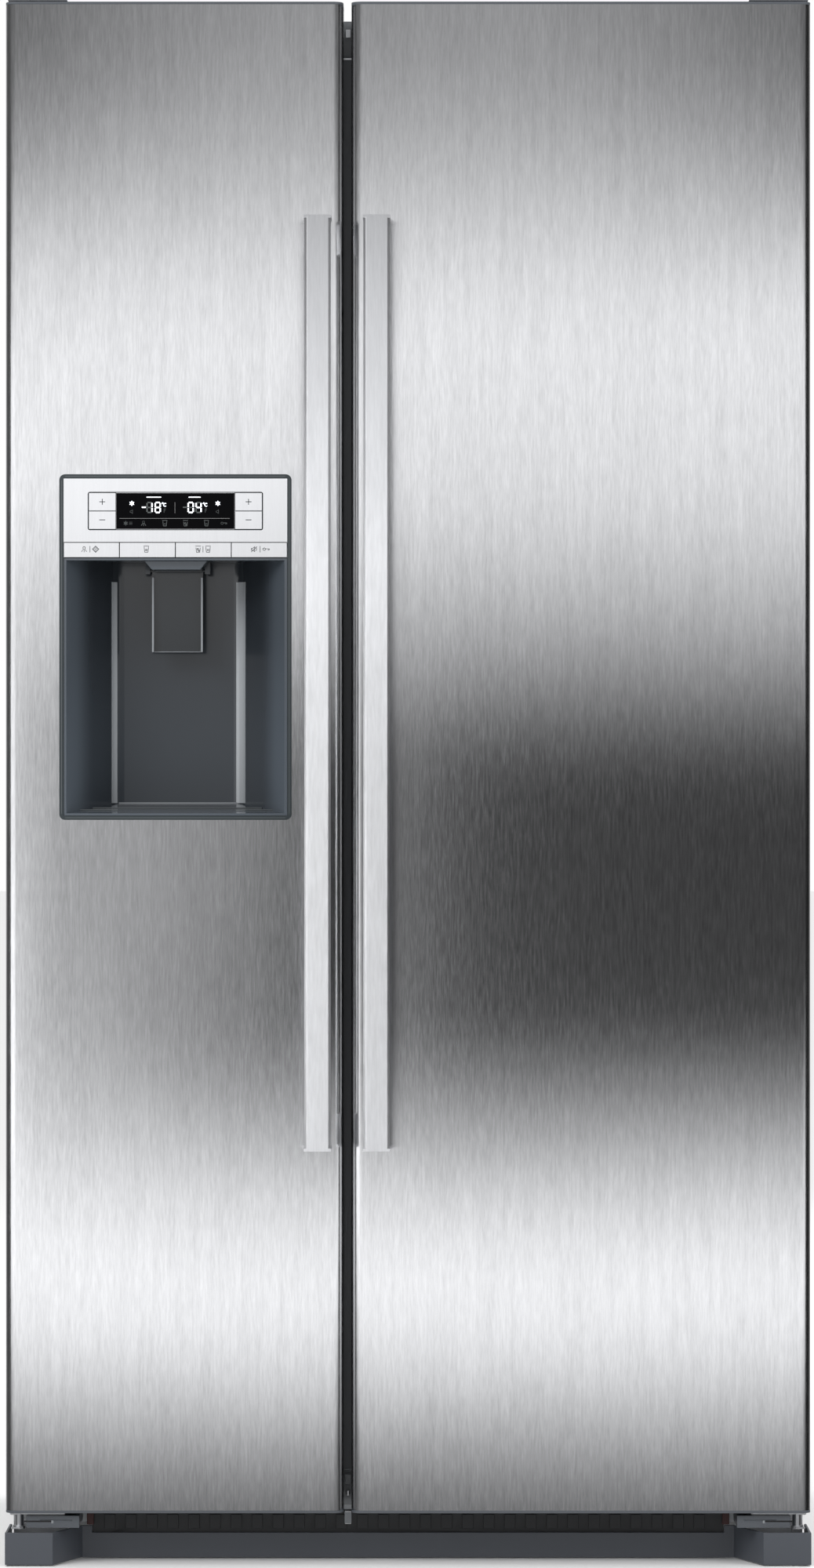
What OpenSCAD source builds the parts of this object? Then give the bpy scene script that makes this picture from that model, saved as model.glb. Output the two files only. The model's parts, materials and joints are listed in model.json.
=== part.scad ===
// Side by side refrigerator: freezer with ice and water dispenser on the left, fridge on the right.
// Millimetres, +Z up. Origin on the floor under the middle of the overall box, fronts face -Y.

/* [Overall size] */
// Width over the cabinet's sides
width = 910; // [780:1:1100]
// Height over the top hinge covers
height = 1770; // [1470:1:2130]
// Depth from the handles' faces to the back edges of the sides
depth = 720; // [610:1:870]

/* [Cabinet] */
// Thickness of the sheet metal
sheet = 1.5; // [1:0.1:2.5]
// Thickness of the inner plastic liners
liner_t = 2; // [1.5:0.1:3]
// Insulated side wall, from the outside to the room
side_wall = 50; // [40:1:70]
// Insulated wall between the two rooms
middle_wall = 53; // [45:1:70]
// Insulated wall above the rooms
top_wall = 54; // [40:1:80]
// Insulated wall below the rooms
bottom_wall = 50; // [40:1:70]
// Insulated wall behind the rooms
back_wall = 58; // [45:1:80]
// Height of the cabinet's underside above the floor
cab_bottom = 60; // [55:1:70]
// Depth of the machine compartment at the back
machine_depth = 190; // [180:1:220]
// Height of the machine compartment's roof above the floor
machine_top = 290; // [270:1:320]
// How far the back panel sits inside the sides' back edges
back_inset = 4; // [3:1:8]

/* [Doors] */
// Width of the freezer door
freezer_door_w = 381.5; // [350:0.5:460]
// Gap between the two doors
door_gap = 9; // [7:0.5:14]
// How far each door stops short of the cabinet's side
door_side_gap = 0.5; // [0:0.5:2]
// Thickness of a door without its gasket
door_t = 66; // [60:1:80]
// Height of the doors' undersides above the floor
door_bottom = 60; // [58:1:70]
// Gap from the doors' tops to the overall height
door_top_gap = 4; // [4:1:8]
// Height of the plastic cap at each end of a door
cap_h = 3; // [3:0.5:8]
// Radius of the doors' front edges
door_edge_r = 12; // [4:0.5:13]
// Thickness of the door gasket
gasket_t = 12; // [10:1:18]
// Width of the door gasket
gasket_w = 15; // [12:1:18]
// How far the gasket sits inside the door's free and end edges
gasket_inset = 3; // [2:0.5:10]
// Depth of the ridges that hold the door bins
ridge_d = 45; // [30:1:55]
// Width of the ridges that hold the door bins
ridge_w = 18; // [12:1:25]

/* [Handles] */
// Length of a handle
handle_l = 1050; // [600:5:1080]
// Width of a handle
handle_w = 29.5; // [22:0.5:36]
// Thickness of a handle's bar
handle_t = 13; // [9:0.5:18]
// Distance from the door's face to the handle's face
handle_standoff = 46; // [40:1:60]
// Distance from the door's top to the handle's top
handle_drop = 245; // [150:5:350]
// Distance from the door's free edge to the middle of its handle
handle_inset = 28.6; // [20:0.2:45]
// Height of a handle's foot
handle_foot = 34; // [20:1:60]
// Height of the polished cap at each end of a handle
handle_cap = 3.5; // [2:0.5:6]
// How far that cap stands out beside the bar
handle_cap_out = 0.6; // [0:0.1:1.5]
// Width of the handle's front chamfers
handle_chamfer = 2.6; // [1:0.1:4]

/* [Dispenser] */
// Width over the dispenser's frame
disp_w = 262; // [220:1:280]
// Height over the dispenser's frame
disp_h = 390; // [360:1:430]
// Distance from the door's top to the dispenser's frame
disp_drop = 533.5; // [400:0.5:600]
// Distance from the freezer door's outer side to the dispenser's frame
disp_inset = 61; // [50:0.5:75]
// Width of the frame's band
disp_band = 4.8; // [3:0.1:8]
// Corner radius of the frame
disp_r = 6.6; // [5:0.1:12]
// How far the frame stands out of the door
disp_proud = 1.5; // [0.5:0.1:4]
// Height of the silver control panel
panel_h = 71.6; // [60:0.1:90]
// Height of the row of function keys
key_row_h = 16.6; // [14:0.1:24]
// Gap round each key
key_gap = 0.8; // [0.4:0.1:1.5]
// Travel of a function key
key_travel = 1; // [0.6:0.1:1.2]
// Width of the display
display_w = 133.4; // [100:0.2:150]
// Height of the display
display_h = 40.6; // [30:0.2:50]
// Distance from the control panel's top to the display
display_drop = 16.4; // [10:0.2:20]
// Width of a setting rocker
rocker_w = 30; // [20:0.5:36]
// Depth of the recess behind the door's face
recess_d = 95; // [80:1:110]
// How far each side of the recess slopes in
recess_slope = 46; // [20:1:60]
// Width of the paddle
paddle_w = 60; // [40:1:70]
// Height of the paddle
paddle_h = 93; // [60:1:110]
// Swing of the paddle
paddle_swing = 12; // [5:1:15]

/* [Rooms] */
// Vertical distance between two shelves
shelf_pitch = 240; // [200:5:300]
// Thickness of a shelf
shelf_t = 5; // [4:0.5:10]
// Height of a shelf's front trim
shelf_trim = 16; // [10:1:25]
// Distance from the cabinet's front to the shelves' fronts
shelf_back = 96; // [90:1:120]
// Wall of the drawers, bins and the ice bucket
tub_t = 2.5; // [2:0.1:4]
// Height of the drawers
drawer_h = 200; // [120:5:210]
// Gap between a drawer and the walls beside it
drawer_gap = 4; // [2:0.5:8]
// Travel of a drawer before it meets the shut door
drawer_travel = 90; // [50:5:95]
// Height of a door bin
bin_h = 110; // [60:5:130]
// Depth of a door bin
bin_d = 95; // [70:1:98]
// Vertical distance between two door bins
bin_pitch = 235; // [180:5:300]
// Width of the ice bucket
bucket_w = 236; // [180:1:240]
// Height of the ice bucket
bucket_h = 170; // [120:5:190]
// Travel of the ice bucket before it meets the shut door
bucket_travel = 40; // [20:5:45]

/* [Hinges, feet and rollers] */
// Distance from a door's side to its hinge pins
pin_inset = 14; // [12:0.5:18]
// Distance from a door's face to its hinge pins
pin_setback = 30; // [26:0.5:36]
// Radius of a hinge pin
pin_r = 5; // [3.5:0.5:6]
// Length of a hinge pin inside the door
pin_l = 22; // [15:1:30]
// Thickness of a hinge plate
hinge_t = 2.2; // [1.8:0.1:4]
// Radial clearance of a running fit
run_fit = 0.05; // [0.02:0.01:0.09]
// Radius of a levelling foot's pad
foot_r = 18; // [12:1:19]
// Radius of a levelling foot's stem
stem_r = 5; // [3:0.5:7]
// Radius of a roller
roller_r = 21; // [15:1:22]
// Width of a roller
roller_w = 20; // [12:1:26]
// Radius of the rollers' axles
axle_r = 4; // [3:0.5:6]
// Radius of a screw's head
screw_head_r = 4.5; // [3:0.5:6]
// Radius of a screw's shank
screw_r = 2.4; // [1.5:0.1:3]

/* [Hidden] */

cut = 1;             // how far a cutting shape runs past a face
slack = 0.3;         // gap between two pieces that pass each other
seam = 0.2;          // gap between a gasket and the cabinet

// Overall box
half_w = width / 2;
front_y = -depth / 2;
back_y = depth / 2;

// Doors
face_y = front_y + handle_standoff;
door_back_y = face_y + door_t;
cab_front = door_back_y + gasket_t;
door_top = height - door_top_gap;
freezer_x0 = -half_w + door_side_gap;
freezer_x1 = freezer_x0 + freezer_door_w;
fridge_x0 = freezer_x1 + door_gap;
fridge_x1 = half_w - door_side_gap;
skin_z0 = door_bottom + cap_h;
skin_z1 = door_top - cap_h;
pin_x = fridge_x1 - pin_inset;
pin_y = face_y + pin_setback;
bore_r = pin_r + run_fit;

// Cabinet
cab_top = height - 16;
back_panel_y = back_y - back_inset;
machine_y = back_panel_y - machine_depth;
gap_x = (freezer_x1 + fridge_x0) / 2;
floor_z = cab_bottom + bottom_wall;
ceil_z = cab_top - top_wall;
room_back = back_panel_y - back_wall;
step_y = machine_y - 42;
step_z = machine_top + 45;
freezer_room = [-half_w + side_wall, gap_x - middle_wall / 2];
fridge_room = [gap_x + middle_wall / 2, half_w - side_wall];

// Gaskets: each lies on the cabinet's face round its room
gasket_z0 = cab_bottom + gasket_inset;
gasket_z1 = cab_top - gasket_inset;

// Dispenser
disp_x0 = freezer_x0 + disp_inset;
disp_x1 = disp_x0 + disp_w;
disp_mid = (disp_x0 + disp_x1) / 2;
disp_z1 = door_top - disp_drop;
disp_z0 = disp_z1 - disp_h;
open_x0 = disp_x0 + disp_band;
open_x1 = disp_x1 - disp_band;
open_z0 = disp_z0 + disp_band;
panel_z1 = disp_z1 - disp_band;
panel_z0 = panel_z1 - panel_h;
keys_z0 = panel_z0 - key_gap - key_row_h;
recess_z1 = keys_z0 - key_gap;
panel_y = face_y - disp_proud / 2;
panel_t = 3;
carrier_y = panel_y + panel_t;
carrier_t = 2.5;
housing_t = 2.5;
recess_y = face_y + recess_d;
recess_r = 16;
bulge_y = recess_y + housing_t + slack;
display_z1 = panel_z1 - display_drop;
display_z0 = display_z1 - display_h;
rocker_pin_r = 1.2;
rocker_gap = 0.6;
rocker_pin_y = carrier_y + 3.4;
rocker_z = (display_z0 + display_z1) / 2;
key_n = 4;
key_pitch = (open_x1 - open_x0) / key_n;
chute_w = 50;
chute_d = 36;
chute_t = 2.5;
chute_y = face_y + 20;
chute_z1 = disp_z1 + 62;
nozzle_h = 10;
paddle_t = 3;
paddle_y = chute_y + chute_d + 9;
paddle_z = recess_z1 - 12;
paddle_pin_r = 2;

// Rooms: shelves, drawers, bins
shelf_y0 = cab_front + shelf_back;
drawer_z = floor_z + 12;
drawer_y0 = shelf_y0;
crisper_z = step_z + 12;
first_shelf = step_z + drawer_h + 28;
duct_d = 26;
cover_y = room_back - 72;
cover_t = 3;
bucket_z = chute_z1 + 26;
bucket_y0 = cab_front + bucket_travel + 14;
bucket_x0 = freezer_room[0] + ridge_w + 16;
bucket_y1 = cover_y - 20;
auger_z = bucket_z + 52;
auger_x = bucket_x0 + bucket_w / 2;
auger_r = 4;
fan_r = 55;
fan_hub_r = 14;
fan_z = first_shelf + 1.5 * shelf_pitch;
fan_x = (freezer_room[0] + freezer_room[1]) / 2;
shaft_r = 3;
shaft_l = 16;
freezer_levels = [for (z = [first_shelf : shelf_pitch : bucket_z - 60]) z];
fridge_levels = [for (z = [first_shelf : shelf_pitch : ceil_z - 150]) z];

// Door bins, below and above the dispenser on the freezer side
bulge_z0 = disp_z0 - 8;
bulge_z1 = chute_z1 + 12;
ridge_lead = 8;
freezer_bins_from = drawer_z + drawer_h + 14;
fridge_bins_from = crisper_z + drawer_h + 14;
freezer_bin_levels = concat(
  [for (z = [freezer_bins_from : bin_pitch : bulge_z0 - bin_h - 10]) z],
  [for (z = [bucket_z + bucket_h + 30 : bin_pitch : ceil_z - bin_h - 20]) z]);
fridge_bin_levels = [for (z = [fridge_bins_from : bin_pitch : ceil_z - bin_h - 20]) z];

// Base
rail_w = 40;
rail_wall = 3;
rail_z0 = 24;
rail_x1 = half_w - 8;
rail_x0 = rail_x1 - rail_w;
rail_mid = (rail_x0 + rail_x1) / 2;
rail_y0 = cab_front + 6;
foot_y = rail_y0 + 32;
roller_y = back_y - 52;
tray_z = 40;
tray_t = 3;
plinth_t = 3;
plinth_z0 = 1.5;
plinth_corner_z = 38;
plinth_middle_z = 30;
plinth_corner_w = 54;
plinth_slant = 30;
plinth_middle_y = cab_front - 13;
plinth_post = 11;
cond_fan_r = 70;
cond_fan_x = -120;
cond_fan_y = (machine_y + back_panel_y) / 2;
cond_fan_z = 165;
gland_x = half_w - 130;
gland_z = 90;
gland_r = 11;
gland_bore_r = 4.5;
valve_x = -half_w + 130;
valve_z = 95;
valve_r = 13.2;
screw_head_h = 2;

// Solid between two corners
module box(lo, hi) {
  translate(lo) cube(hi - lo);
}

// Outline in Y and Z, carried along X
module yz_prism(points, x0, x1) {
  translate([x0, 0, 0]) rotate([90, 0, 90]) linear_extrude(x1 - x0) polygon(points);
}

// Outline in X and Z, carried along Y
module xz_prism(points, y0, y1) {
  translate([0, y1, 0]) rotate([90, 0, 0]) linear_extrude(y1 - y0) polygon(points);
}

// Outline in X and Y, carried along Z
module xy_prism(points, z0, z1) {
  translate([0, 0, z0]) linear_extrude(z1 - z0) polygon(points);
}

module x_rod(x0, x1, y, z, r) {
  translate([x0, y, z]) rotate([0, 90, 0]) cylinder(r = r, h = x1 - x0, $fn = 48);
}

module y_rod(x, y0, y1, z, r) {
  translate([x, y0, z]) rotate([-90, 0, 0]) cylinder(r = r, h = y1 - y0, $fn = 48);
}

module z_rod(x, y, z0, z1, r) {
  translate([x, y, z0]) cylinder(r = r, h = z1 - z0, $fn = 48);
}

// The same piece at the left and mirrored at the right
module both_sides() {
  children();
  mirror([1, 0, 0]) children();
}

function arc(cx, cy, r, a0, a1, n = 8) =
  [for (i = [0 : n]) let (a = a0 + (a1 - a0) * i / n) [cx + r * cos(a), cy + r * sin(a)]];

// Rectangle with rounded corners, counter-clockwise
function rounded(x0, y0, x1, y1, r) = concat(
  arc(x1 - r, y1 - r, r, 0, 90),
  arc(x0 + r, y1 - r, r, 90, 180),
  arc(x0 + r, y0 + r, r, 180, 270),
  arc(x1 - r, y0 + r, r, 270, 360));

// Plan of a door: round front edges, square at the back
function door_plan(x0, x1, y1, inset) = let (r = door_edge_r - inset) concat(
  [[x1 - inset, y1], [x0 + inset, y1]],
  arc(x0 + inset + r, face_y + inset + r, r, 180, 270),
  arc(x1 - inset - r, face_y + inset + r, r, 270, 360));

// Side view of a room, grown by t on every wall
function room_profile(t, front) = [
  [front, floor_z - t], [step_y + t, floor_z - t], [step_y + t, step_z - t],
  [room_back + t, step_z - t], [room_back + t, ceil_z + t], [front, ceil_z + t]];

module room(x, t, front) {
  yz_prism(room_profile(t, front), x[0] - t, x[1] + t);
}

// Open-topped tub between two corners
module tub(lo, hi, t) {
  difference() {
    box(lo, hi);
    box(lo + [t, t, t], [hi[0] - t, hi[1] - t, hi[2] + cut]);
  }
}

// Frame of sealing strip between two corners, in the plane of the cabinet's face
module ring_box(lo, hi, band) {
  difference() {
    box(lo, hi);
    box([lo[0] + band, lo[1] - cut, lo[2] + band], [hi[0] - band, hi[1] + cut, hi[2] - band]);
  }
}

// ---- Cabinet

module cabinet_shell() {
  color("#8b8f94") difference() {
    union() {
      difference() {
        box([-half_w, cab_front, cab_bottom], [half_w, back_y, cab_top]);
        box([-half_w + sheet, cab_front + sheet, cab_bottom + sheet],
            [half_w - sheet, back_y + cut, cab_top - sheet]);
        box([-half_w + sheet, machine_y, cab_bottom - cut],
            [half_w - sheet, back_y + cut, machine_top]);
      }
      box([-half_w + sheet, machine_y - sheet, cab_bottom],
          [half_w - sheet, machine_y, machine_top]);
      box([-half_w + sheet, machine_y - sheet, machine_top - sheet],
          [half_w - sheet, back_panel_y, machine_top]);
    }
    for (x = [freezer_room, fridge_room])
      box([x[0] - liner_t, cab_front - cut, floor_z - liner_t],
          [x[1] + liner_t, cab_front + sheet + cut, ceil_z + liner_t]);
  }
}

module cabinet_foam() {
  color("#e8d9a0") difference() {
    box([-half_w + sheet, cab_front + sheet, cab_bottom + sheet],
        [half_w - sheet, back_panel_y, cab_top - sheet]);
    for (x = [freezer_room, fridge_room]) room(x, liner_t, cab_front);
    box([-half_w, machine_y - sheet, cab_bottom], [half_w, back_y, machine_top]);
  }
}

module liner(x) {
  difference() {
    room(x, liner_t, cab_front);
    room(x, 0, cab_front - cut);
  }
}

module freezer_liner() {
  color("#eef0f1") liner(freezer_room);
}

module fridge_liner() {
  color("#eef0f1") liner(fridge_room);
}

module mullion_cover() {
  half = door_gap / 2 + 1;
  color("#4a4e52")
    box([gap_x - half, cab_front - 3, floor_z - 12], [gap_x + half, cab_front, ceil_z + 14]);
}

module back_panel() {
  color("#b9bcbf") difference() {
    box([-half_w + sheet, back_panel_y, machine_top - sheet],
        [half_w - sheet, back_panel_y + sheet, cab_top - sheet]);
    for (x = panel_screw_x, z = panel_screw_z)
      y_rod(x, back_panel_y - cut, back_panel_y + sheet + cut, z, screw_r + slack);
  }
}

// ---- Base

module rail() {
  difference() {
    union() {
      difference() {
        box([rail_x0, rail_y0, rail_z0], [rail_x1, back_panel_y - 6, cab_bottom]);
        box([rail_x0 + rail_wall, rail_y0 + rail_wall, rail_z0 - cut],
            [rail_x1 - rail_wall, back_panel_y - 6 - rail_wall, cab_bottom - rail_wall]);
      }
      z_rod(rail_mid, foot_y, rail_z0, cab_bottom, stem_r + 6);
    }
    z_rod(rail_mid, foot_y, rail_z0 - cut, cab_bottom - rail_wall, stem_r + run_fit);
  }
}

module roller_axle() {
  for (x = [rail_x0, rail_x1 - rail_wall])
    box([x, roller_y - 12, roller_r - 8], [x + rail_wall, roller_y + 12, rail_z0]);
  x_rod(rail_x0, rail_x1, roller_y, roller_r, axle_r);
}

module base_frame() {
  color("#5b5f63") {
    both_sides() {
      rail();
      roller_axle();
    }
    box([-rail_x0, rail_y0, tray_z], [rail_x0, rail_y0 + 30, cab_bottom]);
    box([-rail_x0, machine_y + 6, tray_z], [rail_x0, back_panel_y - 6, tray_z + tray_t]);
    difference() {
      union() {
        box([cond_fan_x + 8, cond_fan_y - 15, tray_z], [cond_fan_x + 32, cond_fan_y + 15, cond_fan_z]);
        x_rod(cond_fan_x + 6, cond_fan_x + 50, cond_fan_y, cond_fan_z, 22);
      }
      x_rod(cond_fan_x, cond_fan_x + shaft_l + 10, cond_fan_y, cond_fan_z, shaft_r + run_fit);
    }
  }
}

// Left half of the plinth's outline in plan, shifted in by t
function plinth_half(t) = [
  [-half_w + t, cab_front], [-half_w + t, face_y + t],
  [-half_w + plinth_corner_w - t / 2, face_y + t],
  [-half_w + plinth_corner_w + plinth_slant - t / 2, plinth_middle_y + t]];

module base_grille() {
  post_x = half_w - plinth_corner_w - plinth_slant;
  outer = plinth_half(0);
  inner = plinth_half(plinth_t);
  n = len(outer);
  color("#555b62") {
    both_sides() xy_prism(concat(outer, [[-post_x + plinth_post, plinth_middle_y]],
      [[-post_x + plinth_post, plinth_middle_y + plinth_t]],
      [for (i = [n - 1 : -1 : 0]) inner[i]]), plinth_z0, plinth_corner_z);
    box([-post_x + plinth_post, plinth_middle_y, plinth_z0],
        [post_x - plinth_post, plinth_middle_y + plinth_t, plinth_middle_z]);
  }
}

module toe_panel() {
  edge = half_w - plinth_corner_w - plinth_slant - plinth_post;
  color("#26292c") union() {
    box([-edge, plinth_middle_y + plinth_t + 2, plinth_middle_z - 8], [edge, rail_y0, cab_bottom - 6]);
    for (x = [-edge + 14 : 24 : edge - 14])
      box([x, plinth_middle_y + plinth_t, plinth_middle_z + 4],
          [x + 12, plinth_middle_y + plinth_t + 2, cab_bottom - 10]);
  }
}

module foot(x) {
  color("#3a3d40") union() {
    z_rod(x, foot_y, 0, 7, foot_r);
    z_rod(x, foot_y, 7, 14, stem_r + 4);
    z_rod(x, foot_y, 14, cab_bottom - rail_wall - 4, stem_r);
  }
}

module foot_left() {
  foot(-rail_mid);
}

module foot_right() {
  foot(rail_mid);
}

module roller(x) {
  color("#2b2d2f") difference() {
    x_rod(x - roller_w / 2, x + roller_w / 2, roller_y, roller_r, roller_r);
    x_rod(x - roller_w, x + roller_w, roller_y, roller_r, axle_r + run_fit);
  }
}

module roller_left() {
  roller(-rail_mid);
}

module roller_right() {
  roller(rail_mid);
}

// ---- Hinges

hinge_x0 = pin_x - 52;
hinge_x1 = pin_x + 10;
top_plate_z = door_top + 0.4;
low_plate_z = door_bottom - 0.5;
top_foot_y = cab_front + 70;

module top_hinge() {
  profile = [[pin_y - 12, top_plate_z], [cab_front - 2 - hinge_t, top_plate_z],
    [cab_front - 2 - hinge_t, cab_top], [top_foot_y, cab_top], [top_foot_y, cab_top + hinge_t],
    [cab_front - 2, cab_top + hinge_t], [cab_front - 2, top_plate_z + hinge_t],
    [pin_y - 12, top_plate_z + hinge_t]];
  difference() {
    yz_prism(profile, hinge_x0, hinge_x1);
    for (x = top_screw_x) z_rod(x, top_screw_y, cab_top - cut, cab_top + 6, screw_r + slack);
  }
  z_rod(pin_x, pin_y, top_plate_z - pin_l, top_plate_z, pin_r);
}

top_screw_x = [hinge_x0 + 14, hinge_x1 - 14];
top_screw_y = top_foot_y - 20;
low_screw_x = [hinge_x0 + 14, hinge_x1 - 14];
low_screw_z = rail_z0 + 14;

module bottom_hinge() {
  difference() {
    union() {
      box([hinge_x0, pin_y - 12, low_plate_z - 3], [hinge_x1, rail_y0, low_plate_z]);
      box([hinge_x0, rail_y0 - 3, rail_z0], [hinge_x1, rail_y0, low_plate_z]);
    }
    for (x = low_screw_x) y_rod(x, rail_y0 - 6, rail_y0 + cut, low_screw_z, screw_r + slack);
  }
  z_rod(pin_x, pin_y, plinth_corner_z + 1, low_plate_z + pin_l, pin_r);
  z_rod(pin_x, pin_y, plinth_corner_z + 1, plinth_corner_z + 5, pin_r + 2.5);
}

module door_hinges() {
  color("#c9ccd0") both_sides() {
    top_hinge();
    bottom_hinge();
  }
}

module top_hinge_cover() {
  roof_z = top_plate_z + hinge_t + 0.2;
  back = top_foot_y + 8;
  difference() {
    union() {
      box([hinge_x0 - 3, pin_y - 15, roof_z], [hinge_x1 + 2, cab_front - 2, height]);
      box([hinge_x0 - 3, cab_front, cab_top], [hinge_x1 + 2, back, height]);
      box([hinge_x0 - 3, cab_front - 3, roof_z], [hinge_x1 + 2, cab_front + 3, height]);
    }
    box([hinge_x0 - 0.5, cab_front - cut, cab_top - cut], [hinge_x1 + 0.5, back - 2.5, roof_z]);
  }
}

module low_hinge_cover() {
  x1 = pin_x - 9;
  x0 = x1 - 60;
  top = low_plate_z - 3.2;
  difference() {
    box([x0, pin_y - 22, plinth_corner_z + 4.5], [x1, rail_y0 - 6, top]);
    box([x0 + 2, pin_y - 20, plinth_corner_z + 3], [x1 - 2, rail_y0, top - 2]);
    box([x0 + 8, pin_y - 23, top - 6], [x1 - 16, pin_y - 21.2, top - 4.4]);
  }
}

module hinge_covers() {
  color("#5a6067") both_sides() {
    top_hinge_cover();
    low_hinge_cover();
  }
}

// Screw whose head sits on the level z, pointing down
module screw_down(x, y, z, l) {
  z_rod(x, y, z, z + screw_head_h, screw_head_r);
  z_rod(x, y, z - l, z, screw_r);
}

// Screw whose head sits on the plane y, pointing along side (1 or -1)
module screw_along_y(x, y, z, l, side) {
  head = [y, y - side * screw_head_h];
  shank = [y, y + side * l];
  y_rod(x, min(head), max(head), z, screw_head_r);
  y_rod(x, min(shank), max(shank), z, screw_r);
}

panel_screw_x = [-half_w + 22, -half_w / 3, half_w / 3, half_w - 22];
panel_screw_z = [machine_top + 30, cab_top - 18];
cover_screw_z = machine_top - 14;

module screws() {
  color("#b5b8bb") {
    both_sides() {
      for (x = top_screw_x) screw_down(x, top_screw_y, cab_top + hinge_t, hinge_t);
      for (x = low_screw_x) screw_along_y(x, rail_y0 - 3, low_screw_z, 3, 1);
    }
    for (x = panel_screw_x, z = concat(panel_screw_z, [cover_screw_z]))
      screw_along_y(x, back_panel_y + sheet, z, sheet, -1);
  }
}

// ---- Machine compartment

comp_x = half_w - 205;
comp_y = cond_fan_y;
comp_r = 72;
comp_h = 150;

module compressor() {
  z0 = tray_z + tray_t;
  color("#1f2124") {
    translate([comp_x, comp_y, z0 + 16]) rotate_extrude($fn = 64)
      polygon(concat([[0, 0]], arc(comp_r - 20, 20, 20, -90, 0, 6),
        arc(comp_r - 34, comp_h - 34, 34, 0, 90, 8), [[0, comp_h]]));
    box([comp_x - 85, comp_y - 70, z0 + 12], [comp_x + 85, comp_y + 70, z0 + 17]);
    for (dx = [-72, 72], dy = [-56, 56]) z_rod(comp_x + dx, comp_y + dy, z0, z0 + 13, 11);
    x_rod(comp_x - comp_r - 30, comp_x - comp_r + 10, comp_y, z0 + 90, 5);
  }
}

module finned_coil(lo, hi, fins, rows) {
  pitch = (hi[0] - lo[0] - 2) / (fins - 1);
  row = (hi[2] - lo[2]) / rows;
  for (i = [0 : fins - 1]) box([lo[0] + i * pitch, lo[1], lo[2]], [lo[0] + i * pitch + 2, hi[1], hi[2]]);
  for (k = [0 : rows - 1], y = [lo[1] + (hi[1] - lo[1]) / 3, hi[1] - (hi[1] - lo[1]) / 3])
    x_rod(lo[0] - 8, hi[0] + 8, y, lo[2] + (k + 0.5) * row, 4);
}

module condenser() {
  color("#8f9498")
    finned_coil([-rail_x0 + 14, cond_fan_y - 60, tray_z + tray_t],
      [cond_fan_x - 60, cond_fan_y + 30, machine_top - 45], 14, 5);
}

// Blades turned about the X axis, with a shaft that runs in the motor
module fan_x_axis(r, hub, blades) {
  x_rod(-12, 4, 0, 0, hub);
  x_rod(0, shaft_l + 6, 0, 0, shaft_r);
  for (i = [0 : blades - 1]) rotate([i * 360 / blades, 0, 0])
    translate([-4, 0, hub - 3]) rotate([0, 0, 32]) translate([-1, -r * 0.24, 0])
      cube([2, r * 0.48, r - hub]);
}

module condenser_fan() {
  color("#303336") translate([cond_fan_x, cond_fan_y, cond_fan_z]) fan_x_axis(cond_fan_r, 20, 5);
}

module compressor_cover() {
  y0 = back_panel_y;
  z0 = rail_z0 + 18;
  color("#3a3e42") difference() {
    box([-half_w + sheet + 1, y0, z0], [half_w - sheet - 1, y0 + sheet, machine_top - sheet - 0.5]);
    for (x0 = [-half_w + 180, half_w - 330], k = [0 : 9])
      box([x0, y0 - cut, z0 + 60 + k * 15], [x0 + 150, y0 + sheet + cut, z0 + 66 + k * 15]);
    y_rod(gland_x, y0 - cut, y0 + sheet + cut, gland_z, gland_r + slack);
    y_rod(valve_x, y0 - cut, y0 + sheet + cut, valve_z, valve_r + 10);
    for (x = panel_screw_x)
      y_rod(x, y0 - cut, y0 + sheet + cut, cover_screw_z, screw_r + slack);
  }
}

module cord_gland() {
  y0 = back_panel_y;
  color("#17181a") difference() {
    union() {
      y_rod(gland_x, y0 - 14, y0 + sheet, gland_z, gland_r);
      y_rod(gland_x, y0 + sheet, back_y, gland_z, gland_r + 3);
    }
    y_rod(gland_x, y0 - 15, back_y + cut, gland_z, gland_bore_r);
  }
}

module water_valve() {
  y0 = back_panel_y;
  color("#e6e7e8") union() {
    box([valve_x - 22, y0 - 46, valve_z - 20], [valve_x + 22, y0 - 14, valve_z + 34]);
    y_rod(valve_x, y0 - 15, back_y, valve_z, valve_r);
    z_rod(valve_x, y0 - 30, valve_z + 34, valve_z + 58, 16);
  }
}

// The back sheet and the louvred cover below it, two separate sheets
module rear_panels() {
  back_panel();
  compressor_cover();
}

// The water valve with its inlet, and the cord's gland
module rear_fittings() {
  water_valve();
  cord_gland();
}

// ---- Freezer room

module evaporator() {
  color("#aab0b4") finned_coil([freezer_room[0] + 34, cover_y + 14, step_z + 60],
    [freezer_room[1] - 34, room_back - 8, fan_z - fan_r - 30], 16, 8);
}

// The condenser in the base and the evaporator behind the freezer room
module coils() {
  condenser();
  evaporator();
}

module evaporator_cover() {
  color("#e4e7e9") difference() {
    union() {
      box([freezer_room[0], cover_y, step_z], [freezer_room[1], cover_y + cover_t, ceil_z]);
      y_rod(fan_x, cover_y + 30, cover_y + 52, fan_z, 20);
      for (s = [-1, 1]) {
        box([fan_x + s * 70 - 4, cover_y + cover_t, fan_z - 6], [fan_x + s * 70 + 4, cover_y + 40, fan_z + 6]);
        box([min(fan_x, fan_x + s * 74), cover_y + 34, fan_z - 6], [max(fan_x, fan_x + s * 74), cover_y + 40, fan_z + 6]);
      }
    }
    y_rod(fan_x, cover_y - cut, cover_y + cover_t + cut, fan_z, fan_r + 3);
    y_rod(fan_x, cover_y + 20, cover_y + 46, fan_z, shaft_r + run_fit);
    for (k = [0 : 5])
      box([freezer_room[0] + 60, cover_y - cut, step_z + 16 + k * 9],
          [freezer_room[1] - 60, cover_y + cover_t + cut, step_z + 20 + k * 9]);
  }
}

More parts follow.
